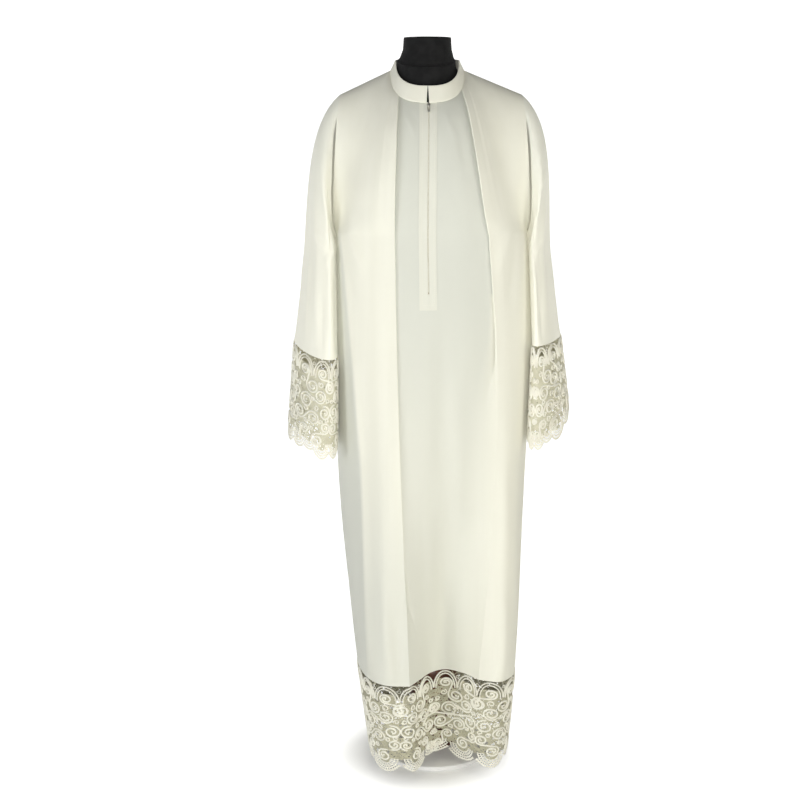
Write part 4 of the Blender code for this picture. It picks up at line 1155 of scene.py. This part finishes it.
def slider_frame():
    """The tab's hinge, and the slider's middle with the ways across, down and out, from the record."""
    joint = frame["record"]["behaviour"]["joints"][0]
    hinge = np.array(joint["pos_m"]) / MM
    hinge[:2] -= NECK_AT
    across = np.array((1.0, 0.0, 0.0))
    down = SLIDER_DOWN / np.linalg.norm(SLIDER_DOWN)
    out = np.cross(down, across)
    middle = hinge - out * (SLIDER[2] / 2 + SEAM_GAP + TAB_THICK / 2)
    middle = middle - down * (SLIDER[1] / 2 * HINGE_AT)
    return hinge, (middle, across, down, out)


# The hinge's place below the slider's middle as a share of its half height, and the slider's outline:
# how much it narrows to its foot and how square its corners are
HINGE_AT = 0.3
SLIDER_ROUND = 28
SLIDER_TAPER = 0.28
SLIDER_SQUARE = 0.1
# Rings of the slider's plate: share of its outline's size, and level as a share of its thickness
PLATE_RINGS = ((0.84, -0.5), (1.0, -0.3), (1.0, 0.3), (0.84, 0.5), (0.5, 0.56))
# The bridge: its half width and height, its reach as a share of the half height, foot and rise
BRIDGE_POINTS = 15
BRIDGE = (0.7, 0.5)
BRIDGE_REACH = 0.6
BRIDGE_FOOT = 1.0
BRIDGE_RISE = 2.3
TAB_ROUND = 48
TAB_RIM = 10
# The tab: how much shorter its middle line is, half its wire at the bridge, how much wider that grows
# at the foot, and how its loop narrows
TAB_SHORT = 0.5
TAB_EDGE = 0.46
TAB_FOOT = 0.75
TAB_TAPER = 0.45


def rounded_plate(outline, thick):
    """Rings of a closed plate with rounded edges, from an outline about its middle."""
    outline = np.asarray(outline, float)
    middle = outline.mean(axis=0)
    level = np.ones(len(outline))
    return np.array([
        np.column_stack((middle + (outline - middle) * share, level * (height * thick)))
        for share, height in PLATE_RINGS
    ])


def ring_faces(rings, count):
    """The faces of a closed piece of rings, with its two ends."""
    first = np.arange(count)
    return [*ring_quads(rings, count), first[::-1], first + (rings - 1) * count]


def placed(points, middle, across, down, out):
    """Points given across, down and out from a middle."""
    return middle + points[..., :1] * across + points[..., 1:2] * down + points[..., 2:] * out


def add_slider(cad_frame, metal):
    """The slider's body, narrower at its foot, and the bridge that holds the tab."""
    half_width, half_height = SLIDER[0] / 2, SLIDER[1] / 2
    outline = []
    for turn in full_turn(SLIDER_ROUND):
        taper = 1.0 - SLIDER_TAPER * max(math.sin(turn), 0.0)
        outline.append((half_width * math.cos(turn) * taper, half_height * math.sin(turn)))
    outline = [(x * (1.0 + SLIDER_SQUARE * abs(math.sin(2 * math.atan2(y, x)))), y) for x, y in outline]
    rings = rounded_plate(outline, SLIDER[2])
    faces = [face[::-1] for face in ring_faces(len(rings), SLIDER_ROUND)]
    points = placed(rings.reshape(-1, 3), *cad_frame)
    bridge = np.linspace(-1.0, 1.0, BRIDGE_POINTS)
    arch = np.column_stack((
        np.zeros(BRIDGE_POINTS), half_height * HINGE_AT + bridge * half_height * BRIDGE_REACH,
        BRIDGE_FOOT + BRIDGE_RISE * (1 - bridge**4),
    ))
    outs = np.repeat(cad_frame[-1][None], BRIDGE_POINTS, axis=0)
    more, more_faces = swept([(placed(arch, *cad_frame), outs, *BRIDGE)], 8)
    faces += [*(more_faces + len(points))]
    add_piece("slider", world(np.concatenate((points, more))), faces, metal, stands_for=["zip_slider"])


def add_tab(hinge, ways, metal):
    """The open teardrop tab, broader at its foot, that hangs from the bridge."""
    turns = full_turn(TAB_ROUND)
    v = (1 - np.cos(turns)) / 2
    width = (TAB_WIDTH / 2 - TAB_FOOT) * np.sin(turns) * (1.0 - TAB_TAPER * v)
    plan = np.stack((width, TAB_LENGTH * v - TAB_SHORT * v, np.zeros(TAB_ROUND)), axis=-1)
    rim = np.stack((np.cos(full_turn(TAB_RIM)), np.sin(full_turn(TAB_RIM))), axis=-1)
    along = unit(np.roll(plan, -1, axis=0) - np.roll(plan, 1, axis=0))
    aside = np.cross(along, np.array((0.0, 0.0, 1.0)))
    broad = TAB_EDGE + TAB_FOOT * v[:, None, None] ** 2
    ring = plan[:, None] + aside[:, None] * rim[None, :, :1] * broad
    ring = ring + np.array((0.0, 0.0, TAB_EDGE)) * rim[None, :, 1:]
    index = np.arange(TAB_ROUND * TAB_RIM).reshape(TAB_ROUND, TAB_RIM)
    after = np.roll(index, -1, axis=0)
    faces = np.stack((index, after, np.roll(after, -1, axis=1), np.roll(index, -1, axis=1)), axis=-1)
    points = world(placed(ring.reshape(-1, 3), hinge, *ways))
    add_piece("pull", points, faces.reshape(-1, 4), metal, stands_for=["zip_pull_tab"], body=TAB)


# --- Lace ---

# The lace's repeat, in millimetres: across a pair of arches, and from the cloth to the lowest tips
REPEAT = 87.0
LACE_DEPTH = 206.0
ARCH_WIDTH = REPEAT / 2
# Half width and height of the scrolls' cord, of the fine bars and of the ground's threads
CORD = (1.95, 2.5)
FINE = (0.66, 0.65)
NET = (1.5, 0.75)
# Two arches, one inside the other: half width, rise, where they start and end in half turns, and the
# cord's share of its width and height
ARCH_FOOT = 38.0
ARCHES = ((21.2, 34.5, 1.0, 2.0, 0.8, 1.0), (16.6, 28.5, 0.97, 2.03, 0.7, 0.9))
ARCH_BARS = ((17.0, 29.0), (20.8, 34.0))
# Bars from the knot between two arches to the seam: x and y of their ends
KNOT_BARS = (
    (0.0, 1.0, -9.0, 13.0), (-11.0, 1.0, -4.0, 20.0), (0.0, 1.0, 9.0, 13.0), (11.0, 1.0, 4.0, 20.0),
    (0.0, 1.0, 0.0, 32.0),
)
# Scrolls, as pairs of spirals joined by an S: x, y, radius of each, the first one's hand, their turns
SCROLLS = (
    (21.8, 30.0, 11.0, 2.0, 58.0, 13.5, -1, 1.55),
    (65.2, 31.0, 11.0, 46.0, 60.0, 14.5, 1, 1.6),
    (24.0, 76.0, 14.0, 58.0, 92.0, 15.0, 1, 1.7),
    (84.0, 86.0, 12.5, 14.0, 108.0, 14.5, -1, 1.5),
    (40.0, 124.0, 14.0, 73.0, 122.0, 13.5, -1, 1.65),
    (10.0, 140.0, 11.5, 30.0, 166.0, 13.0, 1, 1.5),
    (60.0, 152.0, 10.0, 78.0, 170.0, 9.5, -1, 1.45),
)
SMALL_SPIRALS = (
    (24.0, 52.0, 6.5, 1), (68.0, 54.0, 6.0, -1), (42.0, 84.0, 5.0, -1), (80.0, 66.0, 5.5, 1),
    (34.0, 101.0, 5.5, 1), (58.0, 110.0, 5.0, -1), (8.0, 124.0, 5.0, 1), (22.0, 128.0, 5.0, -1),
    (56.0, 134.0, 5.0, 1), (44.0, 146.0, 5.5, -1), (84.0, 143.0, 6.5, 1), (6.0, 84.0, 5.0, -1),
)
# Fans along the edge: middle y, radii of the rows of holes and how far the outer row reaches, after
# each one's middle x
WIDE_FAN = (172.0, (13.8, 19.3, 24.8, 30.3), 26.5)
NARROW_FAN = (165.5, (9.8, 15.0, 20.0, 25.0), 18.0)
FANS = ((30.0, *WIDE_FAN), (78.0, *NARROW_FAN))
# The cuffs' scrolls are drawn wider, and their fans and ground are not
CUFF_FANS = ((17.8, *WIDE_FAN), (47.7, *NARROW_FAN), (73.5, 169.0, (11.5, 17.0, 22.0, 27.3), 20.5))
HEM_PATTERN = (FANS, 1.0)
CUFF_PATTERN = (CUFF_FANS, 2.0 / 3.0)
# How far a scroll's middles drift, the eye of each, and a small spiral's turns, core and share of the
# cord; then the pitch of a fan's bars and picots, a picot's radius, and half widths and heights
SCROLL_DRIFT = 1.3
EYE_RADIUS = 1.3
EYE = (1.2, 1.4)
SMALL_TURNS = 1.2
SMALL_CORE = 0.3
SMALL_CORD = (0.72, 0.85)
FAN_BAR = (0.85, 0.9)
PICOT_CORD = (0.75, 0.9)
KNOT_CORD = (0.8, 0.9)
FAN_BAR_PITCH = 5.2
PICOT_PITCH = 4.6
PICOT = 1.5
# The ground: its threads' pitch, its rows' share of that and where they run, the drift from the line,
# the share of gaps, and the lowest full row
NET_PITCH = 5.3
NET_ROW_SHARE = 0.87
NET_ROWS = (22.0, 186.0)
NET_DRIFT = 1.25
NET_GAPS = 0.09
NET_FOOT = 172.0
# Repeats round each half of a band, the number of its first one, and the number that the ground's
# draws start from
HEM_REPEATS = 6
CUFF_REPEATS = 2
HEM_FIRST = {"front": 0, "back": 7}
CUFF_FIRST = (11, 16)
GROUND_FIRST = 40
# Levels and columns of the surfaces that they lie on, and how far the cords lie out of these
HEM_LEVELS = 16
CUFF_LEVELS = 12
LACE_COLUMNS = 240
LIFTS = {"scrolls": 0.5, "ground": -0.4}


def spiral(x, y, radius, start, hand, turns, core=0.24):
    """Points from the middle of a spiral to its outside, which it reaches at the angle start."""
    t = np.linspace(0.0, 1.0, max(10, int(radius * turns * 2.1)))
    angle = start + hand * 2 * math.pi * turns * (1 - t)
    reach = radius * (core + (1 - core) * t**0.8)
    return np.stack((x + reach * np.cos(angle), y + reach * np.sin(angle)), axis=-1)


def scroll(x1, y1, r1, x2, y2, r2, hand, turns):
    """Two spirals joined along the line that touches both, from one middle to the other."""
    way = math.atan2(y2 - y1, x2 - x1)
    lean = math.acos(min(0.98, (r1 + r2) / math.hypot(x2 - x1, y2 - y1)))
    first = spiral(x1, y1, r1, way + hand * lean, hand, turns)
    last = spiral(x2, y2, r2, way + math.pi + hand * lean, hand, turns)
    return np.vstack((first, last[::-1]))


def arc(x, y, across, down, start, end, step=3.0):
    count = max(5, int(abs(end - start) * max(across, down) / step))
    turns = np.linspace(start, end, count)
    return np.stack((x + across * np.cos(turns), y + down * np.sin(turns)), axis=-1)


def ringlet(x, y, radius, step):
    return arc(x, y, radius, radius, 0, 2 * math.pi, step)


def bar(x0, y0, x1, y1):
    return np.array(((x0, y0), (x1, y1)))


def arch_cords():
    """The arches under the seam, with the bars between the two cords of each and round its knots."""
    w, h = CORD
    cords = []
    for k in (0, 1):
        x, knot = ARCH_WIDTH * (k + 0.5), ARCH_WIDTH * k
        for half, rise, start, end, broad, high in ARCHES:
            path = arc(x, ARCH_FOOT, half, rise, math.pi * start, math.pi * end, 2.6)
            cords.append((path, w * broad, h * high))
        for turn in np.radians(np.arange(190, 351, 16)):
            c, s = math.cos(turn), math.sin(turn)
            cords.append((np.array([(x + a * c, ARCH_FOOT + d * s) for a, d in ARCH_BARS]), *FINE))
        for x0, y0, x1, y1 in KNOT_BARS:
            cords.append((bar(knot + x0, y0, knot + x1, y1), *FINE))
        cords.append((ringlet(knot, 13.0, 3.0, 1.6), *KNOT_CORD))
    return cords


def repeat_cords(seed, pattern):
    """The cords of one repeat as (points, half width, height)."""
    fans, squeeze = pattern
    spread = np.random.default_rng(seed)
    w, h = CORD
    cords = arch_cords()
    for row in SCROLLS:
        moved = np.array(row, float)
        moved[[0, 1, 3, 4]] += spread.uniform(-SCROLL_DRIFT, SCROLL_DRIFT, 4)
        cords.append((scroll(*moved[:6], row[6], row[7]), w, h))
        cords += [(ringlet(x, y, EYE_RADIUS, 1.5), *EYE) for x, y in (moved[:2], moved[3:5])]
    for x, y, radius, hand in SMALL_SPIRALS:
        path = spiral(x, y, radius, spread.uniform(0.0, 2 * math.pi), hand, SMALL_TURNS, SMALL_CORE)
        cords.append((path, w * SMALL_CORD[0], h * SMALL_CORD[1]))
    for x, y, radii, reach in fans:
        for path, width, height in fan_cords(y, radii, reach):
            cords.append((path * (squeeze, 1.0) + (x, 0.0), width, height))
    return cords


def fan_cords(y, radii, reach):
    """A fan of the edge: rows of small square holes round its spiral, and picots on its rim."""
    cords = []
    spans = [math.acos(min(1.0, reach / r)) if r > reach else 0.0 for r in radii]
    for k, (radius, cut) in enumerate(zip(radii, spans)):
        rim = arc(0.0, y, radius, radius, cut, math.pi - cut, 2.4)
        cords.append((rim, CORD[0] * (0.55 + 0.08 * k), 1.2))
    for inner, outer, cut in zip(radii, radii[1:], spans[1:]):
        step = FAN_BAR_PITCH / outer
        for turn in np.arange(cut + step / 2, math.pi - cut, step):
            c, s = math.cos(turn), math.sin(turn)
            cords.append((bar(inner * c, y + inner * s, outer * c, y + outer * s), *FAN_BAR))
    step, rim = PICOT_PITCH / radii[-1], radii[-1] + PICOT
    for turn in np.arange(spans[-1] + step / 2, math.pi - spans[-1], step):
        path = ringlet(rim * math.cos(turn), y + rim * math.sin(turn), PICOT, 1.6)
        cords.append((path, *PICOT_CORD))
    return cords


def net_cords(seed, pattern):
    """The fine ground behind the scrolls: short threads between points a little out of line."""
    spread = np.random.default_rng(seed)
    rows = np.arange(*NET_ROWS, NET_PITCH * NET_ROW_SHARE)
    columns = int(round(REPEAT / NET_PITCH / pattern[1]))
    pitch = REPEAT / columns
    shift = spread.uniform(-NET_DRIFT, NET_DRIFT, (len(rows), columns, 2))
    gaps = spread.random((len(rows), columns)) < NET_GAPS
    cords = []

    def knot(r, c):
        moved = shift[r, c % columns]
        return np.array(((c + 0.5 * (r % 2)) * pitch + moved[0], rows[r] + moved[1]))

    for r in range(len(rows)):
        for c in range(columns):
            if gaps[r, c] or not in_ground(*knot(r, c), pattern):
                continue
            ends = [(r, c + 1)]
            if r + 1 < len(rows):
                down = c + (r % 2)
                ends += [(r + 1, down), (r + 1, down - 1)] if (r + c) % 3 else [(r + 1, down)]
            cords += [(np.array((knot(r, c), knot(*end))), *NET) for end in ends]
    return cords


def in_ground(x, y, pattern):
    """Whether a place lies where the ground is filled: below the arches and inside the fans."""
    across, rise = ARCH_BARS[0]
    if y < ARCH_FOOT:
        from_middle = (x % ARCH_WIDTH - ARCH_WIDTH / 2) / across
        return from_middle**2 + ((y - ARCH_FOOT) / rise) ** 2 < 1.0
    fans, squeeze = pattern
    near = min(math.hypot((x - fan[0]) / squeeze, y - fan[1]) - fan[2][0] for fan in fans)
    return y < NET_FOOT or near < 0.0


def lace_band(name, surface, repeats, first, pattern, threads_of, stands_for):
    """A band of lace on a surface, which gives the point and normal at repeats across, mm down."""
    lines = {"scrolls": [], "ground": []}
    for k in range(repeats):
        drawn = {
            "scrolls": repeat_cords(first + k, pattern),
            "ground": net_cords(GROUND_FIRST + first + k, pattern),
        }
        for kind, cords in drawn.items():
            for path, width, height in cords:
                across = path[:, 0] / REPEAT
                if (first + k) % 2:
                    across = 1.0 - across
                inside = (k + across >= 0.0) & (k + across <= repeats)
                if inside.sum() < 2:
                    continue
                at, out = surface((k + across[inside]) / repeats, path[inside, 1])
                kind_of = "ground" if width == FINE[0] else kind
                lines[kind_of].append((at + out * LIFTS[kind_of], out, width, height))
    scrolls, ground = swept(lines["scrolls"], 5), swept(lines["ground"], 3)
    points = np.concatenate((scrolls[0], ground[0]))
    faces = np.concatenate((scrolls[1], ground[1] + len(scrolls[0])))
    made = add_piece(name, world(points), faces, threads_of[0], stands_for=[stands_for], smooth_angle=75.0)
    made.data.materials.append(threads_of[1])
    shares = np.repeat((0, 1), (len(scrolls[1]), len(ground[1])))
    made.data.polygons.foreach_set("material_index", shares.astype(np.int32))


def surface_of(levels, wrap):
    """A surface through levels of points evenly spread round, for shares across and mm down."""
    levels = np.asarray(levels)
    drops = np.linspace(0.0, LACE_DEPTH, len(levels))
    normals = grid_normals(levels, wrap)
    count = levels.shape[1]

    def place(share, down):
        column = np.asarray(share) * (count if wrap else count - 1)
        row = np.interp(down, drops, np.arange(len(levels)))
        c0 = np.floor(column).astype(int)
        c0 = c0 if wrap else np.clip(c0, 0, count - 2)
        r0 = np.clip(np.floor(row).astype(int), 0, len(levels) - 2)
        u, v = (column - c0)[:, None], (row - r0)[:, None]
        # past the lowest level the surface runs straight on
        past = np.maximum(np.asarray(down) - LACE_DEPTH, 0.0)[:, None]
        v = v + past / (LACE_DEPTH / (len(levels) - 1))
        c1 = c0 + 1
        if wrap:
            c0, c1 = c0 % count, c1 % count
        mixed = []
        for field in (levels, normals):
            top = field[r0, c0] * (1 - u) + field[r0, c1] * u
            foot = field[r0 + 1, c0] * (1 - u) + field[r0 + 1, c1] * u
            mixed.append(top * (1 - v) + foot * v)
        return mixed[0], unit(mixed[1])

    return place


def hem_surface(section_at):
    levels = []
    for z in np.linspace(HEM_SEAM, HEM_TIP, HEM_LEVELS):
        curve = even_places(section_at(z), LACE_COLUMNS)
        levels.append(np.column_stack((curve, np.full(LACE_COLUMNS, z))))
    return surface_of(levels, False)


def add_hem(threads_of):
    for name, section_at in (("front", front_section), ("back", back_section)):
        lace_band(
            f"hem_lace_{name}_cords", hem_surface(section_at), HEM_REPEATS, HEM_FIRST[name], HEM_PATTERN,
            threads_of, f"hem_lace_{name}",
        )


def add_cuffs(threads_of):
    for side in ("left", "right"):
        seam, tips = (sleeve_ring(row, turns_round(side, LACE_COLUMNS)) for row in SLEEVES[side][1:])
        levels = [seam + (tips - seam) * t for t in np.linspace(0.0, 1.0, CUFF_LEVELS)]
        whole = surface_of(levels, True)
        for half, name in enumerate(("front", "back") if side == "left" else ("back", "front")):
            def part(share, down, half=half, whole=whole):
                return whole((half + np.asarray(share)) / 2, down)

            lace_band(
                f"{side}_cuff_{name}_cords", part, CUFF_REPEATS, CUFF_FIRST[half], CUFF_PATTERN, threads_of,
                f"{side}_cuff_lace_{name}",
            )


# --- The form ---


# How a ring's height turns from side to front, and the sides of the torso, the post and the plate
FORM_DROP = 0.9
TORSO_ROUND = 112
POST_ROUND = 64
BASE_ROUND = 128
BASE_EDGE = 3.0
BASE_EDGE_RINGS = 11


def form_ring(row, turns):
    x, half, front, back, z_side, z_front, z_back = row
    c, s = np.cos(turns), np.sin(turns)
    depth = np.where(s > 0, back, front)
    level = np.where(s > 0, z_back, z_front)
    z = z_side + (level - z_side) * np.abs(s) ** FORM_DROP
    return np.stack((x + half * c, depth * s, z), axis=-1)


def ringed(name, rings, finish_of):
    """A closed piece of the form from rings of points in metres."""
    faces = ring_faces(*rings.shape[:2])
    add_piece(name, rings.reshape(-1, 3), faces, finish_of, stands_for=[f"form_{name}"], smooth_angle=35.0)


def turned(profile, count):
    """Rings round the frame's own axis, from heights and radii."""
    turns = full_turn(count)
    c, s = np.cos(turns), np.sin(turns)
    return np.array([np.stack((r * c, r * s, np.full(count, z)), axis=-1) for z, r in profile]) * MM


def add_form(jersey, wood, painted):
    """The torso in its jersey, the turned post and the plate that it stands on."""
    table = np.array([row[1:] for row in FORM_RINGS], float)
    # the cover's hem and the neck band's edges stay sharp, and the rings between them run smoothly
    body, neck = smooth_curve(table[2:14], 4), smooth_curve(table[13:17], 4)
    rows = np.vstack((table[:2], body, neck[1:], table[17:18], smooth_curve(table[17:19], 3)[1:], table[19:]))
    turns = full_turn(TORSO_ROUND)
    ringed("torso", world([form_ring(row, turns) for row in rows]), jersey)
    profile = np.array(POST_PROFILE, float)
    curved = np.vstack((profile[:2], smooth_curve(profile[1:-1], 8)[1:], profile[-1:]))
    ringed("post", turned(curved, POST_ROUND), wood)
    edge = np.radians(np.linspace(-90.0, 90.0, BASE_EDGE_RINGS))
    heights = BASE_THICK / 2 + np.sin(edge) * BASE_THICK / 2
    radii = BASE_RADIUS - BASE_EDGE + BASE_EDGE * np.cos(edge)
    ringed("base", turned(zip(heights, radii), BASE_ROUND), painted)


# --- Stage, light and camera ---


# The floor: half its width, how far it runs to the front and back, the radius of its curve up into the
# wall and the wall's top, in metres
FLOOR_HALF = 5.0
FLOOR_ENDS = (-4.0, 2.2)
WALL_CURVE = 1.2
WALL_TOP = 5.0
# The floor glows white to the camera alone from this far round the robe on, in metres, and less under it, a
# painted shadow
GLOW_NEAR = 0.11
GLOW_FAR = 0.24
GLOW = (0.12, 0.8)


def add_stage():
    """A pale floor that curves up behind into a wall."""
    far = FLOOR_ENDS[1]
    profile = [(FLOOR_ENDS[0], 0.0), (far, 0.0)]
    for turn in np.radians(np.linspace(-90.0, 0.0, 13))[1:]:
        profile.append((far + WALL_CURVE * math.cos(turn), WALL_CURVE + WALL_CURVE * math.sin(turn)))
    profile.append((far + WALL_CURVE, WALL_TOP))
    points = [(x, y, z) for y, z in profile for x in (-FLOOR_HALF, FLOOR_HALF)]
    faces = [(2 * k, 2 * k + 1, 2 * k + 3, 2 * k + 2) for k in range(len(profile) - 1)]
    mesh = bpy.data.meshes.new("floor")
    mesh.from_pydata(points, [], faces)
    mesh.shade_smooth()
    mesh.materials.append(floor_finish())
    linked("floor", mesh)


def ranged(node, low, high, start, end):
    """Sets a Map Range node to turn low to high into start to end."""
    for name, value in (("From Min", low), ("From Max", high), ("To Min", start), ("To Max", end)):
        node.inputs[name].default_value = value


def floor_finish():
    """A pale floor that glows white to the camera alone, as a studio sweep looks under its own lamps; its
    weaker glow round and under the robe paints a soft shadow there.
    """
    made = finish("Pale floor", (0.88, 0.88, 0.87), 0.85)
    tinted(made, (0.89, 0.89, 0.88), (0.87, 0.87, 0.86), 0.8)
    link = made.node_tree.links.new
    place = add_node(made, "ShaderNodeTexCoord")
    away = add_node(made, "ShaderNodeVectorMath", operation="DISTANCE")
    away.inputs[1].default_value = (*(NECK_AT * MM), 0.0)
    glow = add_node(made, "ShaderNodeMapRange", interpolation_type="SMOOTHSTEP")
    ranged(glow, GLOW_NEAR, GLOW_FAR, *GLOW)
    glows = sockets(made)
    glows["Emission Color"].default_value = (1.0, 1.0, 1.0, 1.0)
    link(place.outputs["Object"], away.inputs[0])
    link(away.outputs["Value"], glow.inputs["Value"])
    seen = add_node(made, "ShaderNodeLightPath")
    shown = add_node(made, "ShaderNodeMath", operation="MULTIPLY")
    link(glow.outputs["Result"], shown.inputs[0])
    link(seen.outputs["Is Camera Ray"], shown.inputs[1])
    link(shown.outputs[0], glows["Emission Strength"])
    return made


# Each lamp's place and aim in metres, its size, its power in watts and its colour
LAMPS = (
    ("front", (-0.1, -3.5, 1.0), (0, 0, 0.7), (1.3, 1.1), 50.0, (1.0, 0.995, 0.965)),
    ("left", (-2.7, -2.2, 0.9), (0, 0, 0.8), (1.4, 1.8), 39.0, (0.98, 1.0, 1.0)),
    ("right", (2.7, -2.2, 0.9), (0, 0, 0.8), (1.4, 1.8), 33.0, (1.0, 0.975, 0.86)),
    ("back left", (-1.7, 2.6, 1.0), (0, 0, 0.8), (1.2, 1.8), 22.0, (1.0, 1.0, 0.99)),
    ("back right", (1.7, 2.6, 1.0), (0, 0, 0.8), (1.2, 1.8), 22.0, (1.0, 1.0, 0.99)),
)
SKY_COLOUR = (0.98, 0.99, 1.0, 1.0)
# The backdrop's strength falls from the first of these at this height of a ray to the second at that
SKY_HEIGHTS = (-0.1, 0.6)
SKY = (0.48, 0.04)


def add_light(name, at, aim, size, energy, colour):
    lamp = bpy.data.lights.new(name, "AREA")
    lamp.shape = "RECTANGLE"
    lamp.size, lamp.size_y = size
    lamp.energy = energy
    lamp.color = colour
    made = linked(name, lamp)
    made.location = at
    way = np.asarray(aim, float) - np.asarray(at, float)
    yaw = math.atan2(way[1], way[0]) - math.pi / 2
    pitch = math.atan2(way[2], math.hypot(way[0], way[1]))
    made.rotation_euler = (math.pi / 2 + pitch, 0.0, yaw)
    made.visible_camera = False


def add_sky():
    """A backdrop that lights the robe softly from the sides, and that the camera sees as white."""
    sky_world = bpy.data.worlds.new("studio")
    sky_world.use_nodes = True
    nodes, link = sky_world.node_tree.nodes, sky_world.node_tree.links.new
    back = nodes["Background"]
    back.inputs["Color"].default_value = SKY_COLOUR
    place, axes = nodes.new("ShaderNodeTexCoord"), nodes.new("ShaderNodeSeparateXYZ")
    sky = nodes.new("ShaderNodeMapRange")
    ranged(sky, *SKY_HEIGHTS, *SKY)
    link(place.outputs["Generated"], axes.inputs["Vector"])
    link(axes.outputs["Z"], sky.inputs["Value"])
    seen, shown = nodes.new("ShaderNodeLightPath"), nodes.new("ShaderNodeMath")
    shown.operation = "MAXIMUM"
    link(sky.outputs["Result"], shown.inputs[0])
    link(seen.outputs["Is Camera Ray"], shown.inputs[1])
    link(shown.outputs[0], back.inputs["Strength"])
    bpy.context.scene.world = sky_world
    bpy.context.scene.view_settings.view_transform = "Standard"


CAMERA_AT = (-0.077, -3.03, 1.45)
CAMERA_DOWN = 11.7
CAMERA_LENS = 62.775


def add_camera():
    camera = bpy.data.cameras.new("camera")
    camera.sensor_width = 36.0
    camera.lens = CAMERA_LENS
    made = linked("camera", camera)
    made.location = CAMERA_AT
    made.rotation_euler = (math.radians(90.0 - CAMERA_DOWN), 0.0, 0.0)
    bpy.context.scene.camera = made


# --- What the pieces are ---


def main():
    cloth = cloth_finish("Ivory cloth", IVORY, IVORY_SHADE)
    thread = plain_finish("Cream guipure lace")
    hem_lace = (thread, plain_finish("Lace ground thread in painted shade"))
    cuff_lace = (thread, plain_finish("Cuff lace ground thread in lighter painted shade"))
    tape = cloth_finish("Zip tape", (0.74, 0.71, 0.6), (0.7, 0.67, 0.56))
    chain, metal = plain_finish("Zip coil"), plain_finish("Nickelled zip metal")
    front = add_panels(cloth)
    # The sleeves glow more than the panels: painted light that brightens them
    add_sleeves(cloth_finish("Sleeve cloth with stronger painted glow", IVORY, IVORY_SHADE, through=0.18), front)
    add_collar(cloth)
    add_placket(front, cloth, tape, chain)
    hinge, cad_frame = slider_frame()
    add_slider(cad_frame, metal)
    add_tab(hinge, cad_frame[1:], metal)
    add_hem(hem_lace)
    add_cuffs(cuff_lace)
    add_form(jersey_finish(), plain_finish("Reddish brown wood"), plain_finish("White painted steel"))
    add_stage()
    for lamp in LAMPS:
        add_light(*lamp)
    add_sky()
    add_camera()


main()
